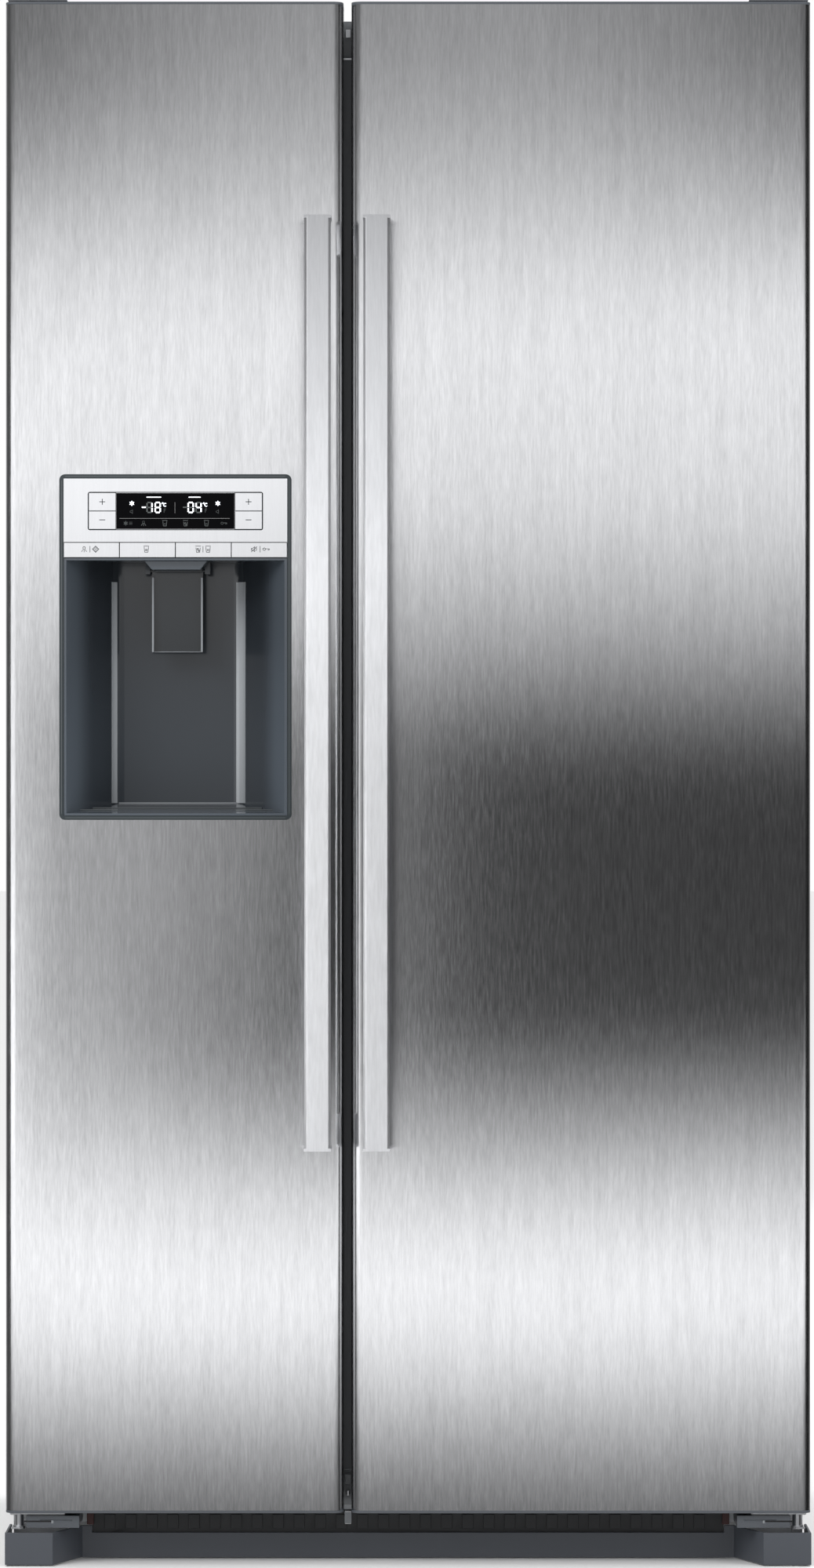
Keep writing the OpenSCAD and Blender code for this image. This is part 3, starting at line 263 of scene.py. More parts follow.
# Carried-over nodes: the same shape with merged corners and edges eased by so many metres
eased = {
    "cabinet_shell": 0.0012, "base_grille": 0.0008, "toe_panel": 0.0005, "hinge_covers": 0.0006,
    "door_hinges": 0.0003, "freezer_handle": 0.0006, "fridge_handle": 0.0006,
    "freezer_door_skin": 0.0, "fridge_door_skin": 0.0, "freezer_door_caps": 0.0006, "fridge_door_caps": 0.0006,
    "dispenser_frame": 0.0004, "control_panel": 0.0003, "display_window": 0.0002, "rocker_left": 0.0004,
    "rocker_right": 0.0004, "function_key_1": 0.0004, "function_key_2": 0.0004, "function_key_3": 0.0004,
    "function_key_4": 0.0004, "dispenser_housing": 0.0006, "paddle": 0.0006, "ice_chute": 0.0006,
    "freezer_liner": 0.002, "fridge_liner": 0.002, "freezer_door_liner": 0.0008, "fridge_door_liner": 0.0008,
    "freezer_bin_rails": 0.004, "fridge_bin_rails": 0.004, "dispenser_back_rim": 0.0006,
    "dispenser_back_plate": 0.0006,
    "freezer_drawer": 0.001, "crisper_upper": 0.001, "crisper_lower": 0.001, "ice_bucket": 0.001,
    "freezer_bins": 0.001, "fridge_bins": 0.001, "glass_shelves": 0.0008,
    "ice_maker": 0.001, "air_duct": 0.0015, "evaporator_cover": 0.0008, "rear_panels": 0.0004,
    "rear_fittings": 0.0008, "mullion_cover": 0.0006,
    "freezer_door_gasket": 0.001, "fridge_door_gasket": 0.001, "compressor": 0.0, "base_frame": 0.0006,
}
handles = ("freezer_handle", "fridge_handle")


# The bar's front is crowned: cut into strips along its length, each set back by sag times the
# fourth power of its share of the half width. The bar's ends stay flat.
handleLook = {"cap": 0.0006, "sag": 0.0026, "end": 0.004, "skin": 0.0001,
              "cuts": (0, 0.2, 0.45, 0.62, 0.75, 0.85, 0.93)}


def crown(work, low, high):
    middle, halfWidth = (low.x + high.x) / 2, (high.x - low.x) / 2 - handleLook["cap"]
    cuts = handleLook["cuts"]
    for share in [-c for c in cuts[:0:-1]] + list(cuts):
        geometry = list(work.verts) + list(work.edges) + list(work.faces)
        bmesh.ops.bisect_plane(work, geom=geometry, plane_no=(1, 0, 0),
                               plane_co=(middle + share * halfWidth, 0, 0))
    for v in work.verts:
        share = (v.co.x - middle) / halfWidth
        fromEnd = min(abs(v.co.z - low.z), abs(v.co.z - high.z))
        if v.co.y < low.y + handleLook["skin"] and fromEnd > handleLook["end"]:
            v.co.y += handleLook["sag"] * min(share ** 4, 1)


def easedCopy(node, width):
    source = nodes[node]
    mesh = bpy.data.meshes.new(node + "_eased")
    work = bmesh.new()
    work.from_mesh(source.data)
    bmesh.ops.remove_doubles(work, verts=work.verts, dist=0.00001)
    bmesh.ops.dissolve_limit(work, angle_limit=math.radians(0.5), verts=work.verts, edges=work.edges)
    if node in handles:
        crown(work, *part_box(node))
    work.to_mesh(mesh)
    work.free()
    piece = bpy.data.objects.new(node + "_eased", mesh)
    bpy.context.scene.collection.objects.link(piece)
    mesh.shade_smooth()
    mesh.set_sharp_from_angle(angle=math.radians(30))
    if width:
        bevel = piece.modifiers.new("eased", "BEVEL")
        bevel.width, bevel.segments = width, 2
        bevel.limit_method, bevel.angle_limit = "ANGLE", math.radians(40)
        bevel.use_clamp_overlap = True
        bevel.harden_normals = True
    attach(piece, bodyOf[node])
    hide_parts(node)
    return piece


special = {"dispenser_frame": "frame_plastic", "mullion_cover": "strip_grey", "paddle": "paddle_plastic"}
slotOf = {s["node"]: s["material_slot"] for s in frame["record"]["subparts"]}
for node, width in eased.items():
    piece = easedCopy(node, width)
    piece.data.materials.clear()
    piece.data.materials.append(finishes[special.get(node, slotOf[node])])
for node, thing in nodes.items():
    if node not in eased:
        for slot in thing.material_slots:
            slot.material = finishes[slotOf[node]]
print("carried-over nodes finished")


# Fine pieces: bars and printed marks built from points
def addMesh(name, points, faces, node, finish, smooth=False):
    mesh = bpy.data.meshes.new(name)
    mesh.from_pydata([tuple(p) for p in points], [], faces)
    mesh.update()
    if smooth:
        mesh.shade_smooth()
        mesh.set_sharp_from_angle(angle=math.radians(35))
    mesh.materials.append(finishes[finish])
    piece = bpy.data.objects.new(name, mesh)
    bpy.context.scene.collection.objects.link(piece)
    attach(piece, bodyOf[node])
    finish if finish in slotNames else slotOf[node]
    return piece


boxFaces = [(0, 1, 3, 2), (4, 6, 7, 5), (0, 4, 5, 1), (2, 3, 7, 6), (0, 2, 6, 4), (1, 5, 7, 3)]


def boxPoints(low, high):
    return [(x, y, z) for x in (low[0], high[0]) for y in (low[1], high[1]) for z in (low[2], high[2])]


def bars(name, node, finish, spans, ease=0.0):      # spans: pairs of corners in millimetres
    points, faces = [], []
    for low, high in spans:
        start = len(points)
        points += [tuple(c / 1000 for c in p) for p in boxPoints(low, high)]
        faces += [tuple(start + i for i in f) for f in boxFaces]
    piece = addMesh(name, points, faces, node, finish)
    if ease:
        bevel = piece.modifiers.new("eased", "BEVEL")
        bevel.width, bevel.segments = ease / 1000, 2
        bevel.harden_normals = True
        piece.data.shade_smooth()
    return piece


# Printed marks: each stroke is a thin bar standing on a front face, from one point to the next;
# its sides lie half a width to the left and right of the line, and its ends a quarter past the points
def marks(name, node, finish, lines, front, depth=0.08):
    points, faces = [], []
    for path, width in lines:
        for (x0, z0), (x1, z1) in zip(path[:-1], path[1:]):
            length = math.hypot(x1 - x0, z1 - z0) or 1
            ux, uz = (x1 - x0) / length * width / 2, (z1 - z0) / length * width / 2
            start = len(points)
            for y in (front - depth, front + 0.02):
                points += [((x0 - ux / 2 - uz) / 1000, y / 1000, (z0 - uz / 2 + ux) / 1000),
                           ((x0 - ux / 2 + uz) / 1000, y / 1000, (z0 - uz / 2 - ux) / 1000),
                           ((x1 + ux / 2 - uz) / 1000, y / 1000, (z1 + uz / 2 + ux) / 1000),
                           ((x1 + ux / 2 + uz) / 1000, y / 1000, (z1 + uz / 2 - ux) / 1000)]
            faces += [tuple(start + i for i in f) for f in boxFaces]
    return addMesh(name, points, faces, node, finish)


def ring(x, z, r, width, start=0, end=360, count=14):
    angles = [math.radians(start + (end - start) * i / count) for i in range(count + 1)]
    return [([(x + r * math.cos(a), z + r * math.sin(a)) for a in angles], width)]


def moved(lines, x, z, size=1.0):
    return [([(x + px * size, z + pz * size) for px, pz in path], width) for path, width in lines]


slotNames = {m["slot"] for m in frame["record"]["materials"]}


def glowing(name, colour, level):
    def recipe(g):
        return {"Emission Color": g.tint(colour, 0.9 + g.noise((60, 60, 60)) * 0.2),
                "Base Color": g.tint(colour, level)}
    return surface(name, recipe, **{"Emission Strength": level, "Roughness": 0.3})


finishes["display light"] = glowing("display light", (0.92, 0.95, 1.0), 0.95)
finishes["display ghost"] = glowing("display ghost", (0.8, 0.9, 0.9), 0.045)
finishes["display rule"] = glowing("display rule", (0.9, 0.9, 0.9), 0.14)
finishes["ink"] = moulded("ink", (0.018, 0.024, 0.028), 0.5, 0.1)
finishes["faint ink"] = moulded("faint ink", (0.085, 0.095, 0.10), 0.3, 0.1)

# Symbols, in millimetres about their own middle: strokes with their widths
thin, hair, bold = 0.6, 0.34, 0.85
spokes = [(2.7 * math.cos(a), 2.7 * math.sin(a)) for a in np.radians((30, 90, 150))]
hatch = (-1.2, 0, 1.2)
glass = [([(-3.0, 3.6), (3.0, 3.6)], thin), ([(-2.4, 1.6), (-1.8, -3.4), (1.8, -3.4), (2.4, 1.6)], thin)]
symbols = {
    "snow": [([(-x, -z), (x, z)], thin) for x, z in spokes] + ring(0, 0, 1.7, 0.5),
    "lamp": ring(0, 1.6, 1.3, thin, -30, 210) + [
        ([(-1.1, 1.0), (-1.1, -0.4), (1.1, -0.4), (1.1, 1.0)], thin), ([(-1.6, -1.0), (-2.8, -2.8)], thin),
        ([(0, -1.2), (0, -3.2)], thin), ([(1.6, -1.0), (2.8, -2.8)], thin)],
    "bar": [([(0, -3.4), (0, 3.4)], thin)],
    "lattice": [([(0, 3.6), (3.6, 0), (0, -3.6), (-3.6, 0), (0, 3.6)], thin)] + [
        ([(-1.8 + k, 1.8 + k), (1.8 + k, -1.8 + k)], hair) for k in hatch] + [
        ([(-1.8 + k, -1.8 - k), (1.8 + k, 1.8 - k)], hair) for k in hatch],
    "cup": glass + [([(x, 2.6), (x, 1.6)], thin) for x in (-2.4, 2.4)] + ring(0, -0.9, 0.9, thin),
    "cubes": glass + [
        ([(-1.2, 0.6), (0.2, 1.0), (0.4, -0.4), (-1.0, -0.8), (-1.2, 0.6)], thin),
        ([(0.2, -1.2), (1.3, -1.0), (1.2, -2.3), (0.1, -2.4), (0.2, -1.2)], thin)],
    "mute": [([(-3.2, 1.0), (-1.4, 1.0), (0.6, 2.8), (0.6, -2.8), (-1.4, -1.0), (-3.2, -1.0),
               (-3.2, 1.0)], thin), ([(-3.2, -3.0), (3.2, 3.0)], thin)] + ring(0.8, 0, 2.0, thin, -55, 55, 6),
    "key": ring(-2.2, 0, 1.4, thin) + [
        ([(-0.8, 0.4), (3.6, 0.4), (3.6, -0.6), (2.4, -0.6), (2.2, -1.2)], thin)],
    "horn": [([(-2.0, 0.8), (-0.8, 0.8), (0.8, 2.2), (0.8, -2.2), (-0.8, -0.8), (-2.0, -0.8),
               (-2.0, 0.8)], 0.35)],
    "plus": [([(-3.1, 0), (3.1, 0)], bold), ([(0, -3.1), (0, 3.1)], bold)],
    "minus": [([(-3.1, 0), (3.1, 0)], bold)],
    "steps": [([(-2.0, k), (2.0, k)], 0.3) for k in (-1.4, 0, 1.4)],
    "drop": [([(0, 4.6), (-2.6, 0.4), (-3.2, -1.6), (-2.2, -3.6), (0, -4.4), (2.2, -3.6), (3.2, -1.6),
               (2.6, 0.4), (0, 4.6)], 0.5)],
}


def millimetres(node):
    low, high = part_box(node)
    return [c * 1000 for c in low], [c * 1000 for c in high]


# Dispenser: the display's digits and signs, in millimetres from its middle
everyBar = ("top", "middle", "bottom", "upLeft", "upRight", "downLeft", "downRight")
display = {
    "digitW": 5.6, "digitH": 11.2, "stroke": 1.55, "rule": 0.35, "digitUp": 4.0, "signUp": 4.2,
    "digits": ((-29.2, ("upRight", "downRight")), (-19.9, everyBar),
               (17.3, tuple(b for b in everyBar if b != "middle")),
               (26.2, ("upLeft", "middle", "upRight", "downRight"))),
    "minus": -35.6, "faintMinus": 10.8, "degrees": (-12.8, 33.6), "snow": (-49.1, 47.9),
    "headings": ((-24.3, 8.0), (21.7, 6.5)), "headingUp": 15.6,
    "row": ((-56.0, "snow"), (-50.4, "steps"), (-35.9, "lamp"), (-11.9, "cup"), (11.4, "cubes"),
            (35.0, "cup"), (54.7, "key")), "rowDown": 13.8, "rowSize": 0.9,
    "rules": (((-63.0, -8.4), (61.2, -8.4)), ((-0.5, -2.4), (-0.5, 9.8))),
}
(_, dy0, dz0), (_, _, dz1) = millimetres("display_window")
dispX = sum(corner[0] for corner in millimetres("display_window")) / 2
dispZ = (dz0 + dz1) / 2


# A seven-bar digit about (x, z): the top, upper and lower sides, middle and bottom bars
def digit(x, z, shown):
    w, h, t = display["digitW"] / 2, display["digitH"] / 2, display["stroke"]
    gap = t * 0.62
    ends = {"top": ((-w + gap, h), (w - gap, h)), "middle": ((-w + gap, 0), (w - gap, 0)),
            "bottom": ((-w + gap, -h), (w - gap, -h)), "upLeft": ((-w, gap), (-w, h - gap)),
            "upRight": ((w, gap), (w, h - gap)), "downLeft": ((-w, -h + gap), (-w, -gap)),
            "downRight": ((w, -h + gap), (w, -gap))}
    pieces = {True: [], False: []}
    for key, (a, b) in ends.items():
        pieces[key in shown] += [([(x + a[0], z + a[1]), (x + b[0], z + b[1])], t)]
    return pieces[True], pieces[False]


litLines, ghostLines = [], []
for across, shown in display["digits"]:
    lit, ghost = digit(across, display["digitUp"], shown)
    litLines += lit
    ghostLines += ghost
dash = [([(-1.9, 0), (1.9, 0)], 1.5)]
litLines += moved(dash, display["minus"], display["signUp"])
ghostLines += moved(dash, display["faintMinus"], display["signUp"])
for across in display["degrees"]:
    litLines += ring(across - 1.6, 8.8, 0.7, 0.5, count=8) + ring(across + 1.1, 7.0, 1.7, 0.8, 50, 310, 8)
    ghostLines += [([(across + 1.9, 2.4), (across, 2.4), (across, -1.6)], 0.5),
                   ([(across, 0.6), (across + 1.4, 0.6)], 0.5)]
for across in display["snow"]:
    litLines += moved(symbols["snow"], across, 8.6, 1.05)
    ghostLines += moved(symbols["horn"], across, -0.7)
# plain dashes stand for the two headings
for across, half in display["headings"]:
    litLines += [([(across - half, display["headingUp"]), (across + half, display["headingUp"])], 1.0)]
for across, symbol in display["row"]:
    ghostLines += moved(symbols[symbol], across, -display["rowDown"], display["rowSize"])
ruleLines = [(list(ends), display["rule"]) for ends in display["rules"]]
for name, lines, depth in (("lit", litLines, 0.08), ("ghost", ghostLines, 0.05), ("rules", ruleLines, 0.06)):
    finish = "display " + {"lit": "light", "rules": "rule"}.get(name, name)
    marks("display_" + name, "display_window", finish, moved(lines, dispX, dispZ), dy0, depth)

# Signs on the keys, in millimetres from each key's middle
keyRows = ((("lamp", -8.3), ("bar", -1.7), ("lattice", 4.7)), (("cup", -1.2),),
           (("cubes", -5.9), ("bar", -0.4), ("cup", 5.3)), (("mute", -5.8), ("bar", 0.9), ("key", 7.7)))
rockerLook = {"plusUp": 10.4, "minusDown": 10.0, "seamHalf": 14.8}
keyFront = millimetres("function_key_1")[0][1]


def middle(node):
    (x0, _, z0), (x1, _, z1) = millimetres(node)
    return (x0 + x1) / 2, (z0 + z1) / 2


for node in ("rocker_left", "rocker_right"):
    seam = [([(-rockerLook["seamHalf"], 0), (rockerLook["seamHalf"], 0)], 1.0)]
    signs = moved(symbols["plus"], 0, rockerLook["plusUp"])
    signs += moved(symbols["minus"], 0, -rockerLook["minusDown"])
    marks(node + "_signs", node, "ink", moved(signs + seam, *middle(node)), keyFront)
for i, row in enumerate(keyRows):
    node = "function_key_%d" % (i + 1)
    lines = sum([moved(symbols[s], at, 0.9) for s, at in row], [])
    marks(node + "_symbols", node, "ink", moved(lines, *middle(node)), keyFront)

# Dark outline that runs round both rockers and the display
outlineLook = {"line": 1.0, "out": 0.9, "inset": 2.6, "corner": 2.2}
rockerX = [corner[0] for corner in millimetres("rocker_left")]
left = rockerX[0] + outlineLook["inset"] - outlineLook["out"]
right = 2 * dispX - left
low, high = dz0 - outlineLook["out"], dz1 + outlineLook["out"]
corner, line = outlineLook["corner"], outlineLook["line"]
outline = [([(left + corner, z), (right - corner, z)], line) for z in (high, low)]
outline += [([(x, low + corner), (x, high - corner)], line) for x in (left, right)]
for cx, cz, start in ((left + corner, high - corner, 90), (right - corner, high - corner, 0),
                      (left + corner, low + corner, 180), (right - corner, low + corner, 270)):
    outline += ring(cx, cz, corner, line, start, start + 90, 5)
marks("panel_outline", "control_panel", "ink", outline, millimetres("control_panel")[0][1])

# The paddle's printed drop in its three-sided line, in millimetres
paddleLook = {"dropUp": 25, "dropSize": 1.15, "lineHalf": 20, "lineUp": (3, 47), "back": 8.0,
              "rim": (5.1, 7.3), "rimOut": 0.25, "rimIn": 1.2, "rimTop": 12}
(px0, py0, pz0), (px1, _, pz1) = millimetres("paddle")
half, (lineLow, lineHigh) = paddleLook["lineHalf"], paddleLook["lineUp"]
sign = moved(symbols["drop"], 0, paddleLook["dropUp"], paddleLook["dropSize"])
sign += [([(-half, lineLow), (-half, lineHigh), (half, lineHigh), (half, lineLow)], 0.5)]
marks("paddle_drop", "paddle", "faint ink", moved(sign, (px0 + px1) / 2, pz0), py0 + paddleLook["back"])
print("dispenser detailed")


# Recess: painted highlights on the rounded corners, the floor edge and the paddle rims
(hx0, hy0, hz0), (hx1, hy1, hz1) = millimetres("dispenser_housing")
(fx0, fy0, fz0), (fx1, _, fz1) = millimetres("dispenser_frame")
recess = {"wall": 2.5, "slope": 46, "corner": 16, "floorBack": 13.5, "stripDown": 24, "lift": 0.8,
          "fill": 0.9, "steps": 9, "leftArc": (24, 56), "rightArc": (22, 74), "edgeIn": 8}
# a pale gloss plastic that paints the highlights on the recess's rounded corners
finishes["strip plastic"] = moulded("strip plastic", (0.34, 0.36, 0.38), 0.22, 0.05, coat=0.4)
# a paler plastic for painted highlights on edges, and for small trim
finishes["edge plastic"] = moulded("edge plastic", (0.22, 0.235, 0.25), 0.2, 0.05, coat=0.4)
backY, floorZ = hy1 - recess["wall"], hz0 + recess["floorBack"]
backX = (hx0 + recess["wall"] + recess["slope"], hx1 - recess["wall"] - recess["slope"])


# A painted highlight: a pale strip that follows the rounded corner between the back wall and a side wall,
# where a glossy corner would catch the light: two arcs about the corner's centre, one lifted off the wall and
# one just clear of it, drawn from floor to top
def cornerHighlight(name, side, arc):
    centre = np.array((backX[side > 0] - side * recess["corner"], backY - recess["corner"]))
    turn = np.radians(np.linspace(*arc, recess["steps"]))
    way = np.column_stack((side * np.cos(turn), np.sin(turn)))
    inner = recess["corner"] - recess["lift"]
    outer = inner + recess["lift"] * recess["fill"]
    outline = np.vstack((centre + way * inner, centre + way[::-1] * outer))
    count = len(outline)
    heights = np.repeat((floorZ + 0.4, hz1 - recess["stripDown"]), count)
    points = np.column_stack((np.tile(outline, (2, 1)), heights)) / 1000
    faces = [tuple(range(count))[::side], tuple(range(count, 2 * count))[::-side]]
    faces += [(i, (i + 1) % count, count + (i + 1) % count, count + i)[::-side] for i in range(count)]
    return addMesh(name, points.tolist(), faces, "dispenser_housing", "strip plastic", True)


# The same bar on both sides of a middle line
def both(middleX, near, far, lowYZ, highYZ):
    spans = []
    for side in (-1, 1):
        xs = sorted((middleX + side * near, middleX + side * far))
        spans.append(((xs[0], *lowYZ), (xs[1], *highYZ)))
    return spans


cornerHighlight("recess_corner_highlight_left", -1, recess["leftArc"])
cornerHighlight("recess_corner_highlight_right", 1, recess["rightArc"])
# a painted highlight along the join of the recess's back wall and floor
bars("recess_floor_highlight", "dispenser_housing", "edge plastic",
     [((backX[0] + recess["edgeIn"], backY - 1.6, floorZ - 0.4),
       (backX[1] - recess["edgeIn"], backY - 0.1, floorZ + 1.2))], 0.3)
recessX, recessHalf = (hx0 + hx1) / 2, (hx1 - hx0) / 2
bars("recess_tray_lines", "dispenser_housing", "faint ink",
     both(recessX, recessHalf - 14, recessHalf - 60, (hy0 + 26, hz0 + 6.0), (hy0 + 27.2, hz0 + 6.9)) +
     [((hx0 + 30, hy0 + 48, hz0 + 8.3), (hx1 - 30, hy0 + 49.0, hz0 + 9.2))])
# painted highlights: pale bars on the front edges of the paddle's flanges and across its foot
paddleHalf, (rimOuter, rimInner) = (px1 - px0) / 2, paddleLook["rim"]
bars("paddle_rim_highlights", "paddle", "edge plastic",
     both((px0 + px1) / 2, paddleHalf - rimOuter, paddleHalf - rimInner,
          (py0 - paddleLook["rimOut"], pz0 + 0.3), (py0 + paddleLook["rimIn"], pz1 - paddleLook["rimTop"])) +
     [((px0 + 7.6, py0 + 6.7, pz0 + 0.2), (px1 - 7.6, py0 + 7.6, pz0 + 1.0))], 0.2)
frameLook = {"fromSide": 2.6, "fromEnd": 2.4, "corner": 7, "line": 0.6}
ends = frameLook["corner"]
lines = [([(x, fz0 + ends), (x, fz1 - ends)], frameLook["line"])
         for x in (fx0 + frameLook["fromSide"], fx1 - frameLook["fromSide"])]
lines += [([(fx0 + ends, z), (fx1 - ends, z)], frameLook["line"])
          for z in (fz1 - frameLook["fromEnd"], fz0 + frameLook["fromEnd"])]
marks("frame_line", "dispenser_frame", "faint ink", lines, fy0, 0.04)

# Dark seams between the keys and above them
keyBoxes = [millimetres("function_key_%d" % i) for i in (1, 2, 3, 4)]
keyMid = [(a[1][0] + b[0][0]) / 2 for a, b in zip(keyBoxes, keyBoxes[1:])]
(_, seamY, keyLow), (_, _, keyTop) = keyBoxes[0]
panelX = [corner[0] for corner in millimetres("control_panel")]
seams = {"half": 0.38, "back": 1.0, "depth": 4.5, "fromSide": 0.6}
seamY += seams["back"]
bars("key_seams", "control_panel", "ink",
     [((x - seams["half"], seamY, keyLow + 0.2), (x + seams["half"], seamY + seams["depth"], keyTop + 0.3))
      for x in keyMid] +
     [((panelX[0] + seams["fromSide"], seamY, keyTop + 0.1),
       (panelX[1] - seams["fromSide"], seamY + seams["depth"], keyTop + 0.7))])

# Hinge covers' grooves, bright hinge ends, the fittings seen in the gap between the doors, and painted light
# on the toe panel under the gap
coverY, toeY = millimetres("hinge_covers")[0][1], millimetres("toe_panel")[0][1]
(mx0, stripY, _), (mx1, _, _) = millimetres("mullion_cover")
gapX = (mx0 + mx1) / 2
finishes["cover groove"] = moulded("cover groove", (0.006, 0.006, 0.007), 0.5, 0.2)
finishes["cable red"] = moulded("cable red", (0.045, 0.006, 0.005), 0.45, 0.2)
# each: name, node, finish, ease, and for every bar its distances from the middle, then its y and z
sideFittings = (
    ("cover_groove_", "hinge_covers", "cover groove", 0,
     (((402, 434), (coverY - 0.06, coverY + 0.4), (49.0, 50.8)),)),
    ("cover_groove_end_", "hinge_covers", "edge plastic", 0,
     (((400.6, 403), (coverY - 0.08, coverY + 0.4), (47.6, 50.9)),)),
    ("hinge_end_", "door_hinges", "hinge_steel", 0.4,
     (((438, 449), (-301, -292), (56.6, 58.6)), ((438, 449), (-300, -292), (40.4, 42.2)))),
    ("hinge_clip_", "base_grille", "edge plastic", 0.3, (((373, 375), (-262, -258), (39.2, 54)),)),
    ("loom_end_", "base_grille", "cable red", 0.8, (((358, 366), (-250, -247), (39, 57)),)),
)
for name, side in (("left", -1), ("right", 1)):
    for start, node, finish, ease, pieces in sideFittings:
        spans = []
        for across, ys, zs in pieces:
            xs = sorted(side * x for x in across)
            spans.append(((xs[0], ys[0], zs[0]), (xs[1], ys[1], zs[1])))
        bars(start + name, node, finish, spans, ease)
# each: name, node, finish, ease, and for every bar its half width, its y from the node's front, its z
gapFittings = (
    # a pale strip with two bright lines on the toe panel: painted light falling through the gap between the
    # doors
    ("toe_rib", "toe_panel", "edge plastic", 0.5, toeY, ((4, (-1.2, 0), (40.0, 53.6)),)),
    ("toe_rib_ends", "toe_panel", "hinge_steel", 0, toeY,
     ((3.4, (-1.6, -0.2), (39.4, 40.2)), (3.4, (-1.6, -0.2), (53.0, 53.9)))),
    ("gap_clip_low", "mullion_cover", "edge plastic", 0.4, stripY,
     ((4.6, (-1.4, 0), (100.2, 101.4)), (3.4, (-2.0, 0.2), (84.0, 95.0)))),
    ("gap_clip_top", "mullion_cover", "hinge_steel", 0.3, stripY,
     ((4.8, (-0.8, -0.1), (1709.5, 1711.5)), (2.8, (-1.2, 0.2), (1735.0, 1744.0)))),
)
for name, node, finish, ease, front, pieces in gapFittings:
    bars(name, node, finish, [((gapX - half, front + ys[0], zs[0]), (gapX + half, front + ys[1], zs[1]))
                              for half, ys, zs in pieces], ease)


# A domed screw head: rings of points, each a share of the radius wide and a share of it back
screwLook = {"around": 20, "rings": ((0.55, -0.38), (0.9, -0.16), (1.0, 0.25)), "crown": 0.45,
             "z": 73.5, "radius": 3.0, "out": 0.4}


def screwHead(name, node, x, y, z):
    r, around = screwLook["radius"], screwLook["around"]
    turn = np.linspace(0, 2 * math.pi, around, endpoint=False)
    circle = np.column_stack((np.cos(turn), np.zeros(around), np.sin(turn)))
    points = np.vstack([[(0, -screwLook["crown"], 0)]] +
                       [circle * share + (0, back, 0) for share, back in screwLook["rings"]]) * r
    faces = [(0, 1 + (i + 1) % around, 1 + i) for i in range(around)]
    for k in range(len(screwLook["rings"]) - 1):
        a = 1 + k * around
        b = a + around
        faces += [(a + i, a + (i + 1) % around, b + (i + 1) % around, b + i) for i in range(around)]
    return addMesh(name, ((points + (x, y, z)) / 1000).tolist(), faces, node, "hinge_steel", True)


screwHead("gap_screw_low", "mullion_cover", gapX, stripY - screwLook["out"], screwLook["z"])
print("small fittings made")

# Rooms: lamps, shelf ledges, duct vents
rooms = {"lamp": 1.6, "lampY": (-150, -110), "lampDrop": (3.5, 0.2), "freezerInset": 90, "fridgeInset": 110,
         "ledge": 5.0, "ledgeDrop": (8, 0.1), "ledgeFront": 12, "ledgeBack": 4, "wall": 1.5,
         "ceiling": 1700, "shelfGap": 60}
finishes["room lamp"] = glowing("room lamp", (1.0, 0.98, 0.94), rooms["lamp"])
freezerX, fridgeX = [[corner[0] for corner in millimetres(n)] for n in ("freezer_liner", "fridge_liner")]
lampLow, lampHigh = [rooms["ceiling"] - drop for drop in rooms["lampDrop"]]
bars("room_lamps", "freezer_liner", "room lamp",
     [((x0 + inset, rooms["lampY"][0], lampLow), (x1 - inset, rooms["lampY"][1], lampHigh))
      for (x0, x1), inset in ((freezerX, rooms["freezerInset"]), (fridgeX, rooms["fridgeInset"]))], 0.8)


# The shelves between two walls: their points, and the heights of their undersides
def shelvesBetween(walls):
    points = np.array([v.co[:] for v in nodes["glass_shelves"].data.vertices]) * 1000
    return points[(points[:, 0] > walls[0]) & (points[:, 0] < walls[1])]


def levels(points):
    heights = sorted(set(np.round(points[:, 2], 1).tolist()))
    return heights[:1] + [b for a, b in zip(heights, heights[1:]) if b - a > rooms["shelfGap"]]


def ledges(name, node, walls, shelves):
    roomX, roomHalf = sum(walls) / 2, (walls[1] - walls[0]) / 2 - 2 * rooms["wall"] + 0.1
    front, back = shelves[:, 1].min() + rooms["ledgeFront"], shelves[:, 1].max() - rooms["ledgeBack"]
    down, under = rooms["ledgeDrop"]
    spans = []
    for z in levels(shelves):
        spans += both(roomX, roomHalf, roomHalf - rooms["ledge"], (front, z - down), (back, z - under))
    bars(name, node, "liner_plastic", spans, 1.2)


ledges("freezer_ledges", "freezer_liner", freezerX, shelvesBetween(freezerX))
fridgeShelves = shelvesBetween(fridgeX)
ledges("fridge_ledges", "fridge_liner", fridgeX, fridgeShelves)
vents = {"side": 60, "down": 30, "tall": 4, "pitch": 9, "count": 6,
         "ductSide": 18, "ductUp": (150, 190), "ductTall": 5, "ductPitch": 11, "ductTop": 20}
(ax0, ay0, _), (ax1, _, az1) = millimetres("air_duct")
(ex0, ey0, _), (ex1, _, ez1) = millimetres("evaporator_cover")
tops = [ez1 - vents["down"] - k * vents["pitch"] for k in range(vents["count"])]
bars("evaporator_vents", "evaporator_cover", "cover groove",
     [((ex0 + vents["side"], ey0 - 0.5, z - vents["tall"]), (ex1 - vents["side"], ey0 + 0.3, z))
      for z in tops])
slotUp = range(*vents["ductUp"], vents["ductPitch"])
slotZ = [int(bottom) + up for bottom in levels(fridgeShelves) for up in slotUp]
bars("duct_slots", "air_duct", "cover groove",
     [((ax0 + vents["ductSide"], ay0 - 0.4, z), (ax1 - vents["ductSide"], ay0 + 0.2, z + vents["ductTall"]))
      for z in slotZ if z < az1 - vents["ductTop"]])
print("rooms detailed")


# Light: pale floor, soft surroundings, lamps, and a reflector in front of the doors
studio = {"floorRadius": 40.0, "cardAhead": 1.5, "cardHalf": 3.2, "cardFoot": -0.6, "cardTop": 3.4,
          "steel": 0.60, "left": (-0.95, -0.55), "right": (0.55, 0.95), "darkLeft": 0.85, "darkRight": 0.97}
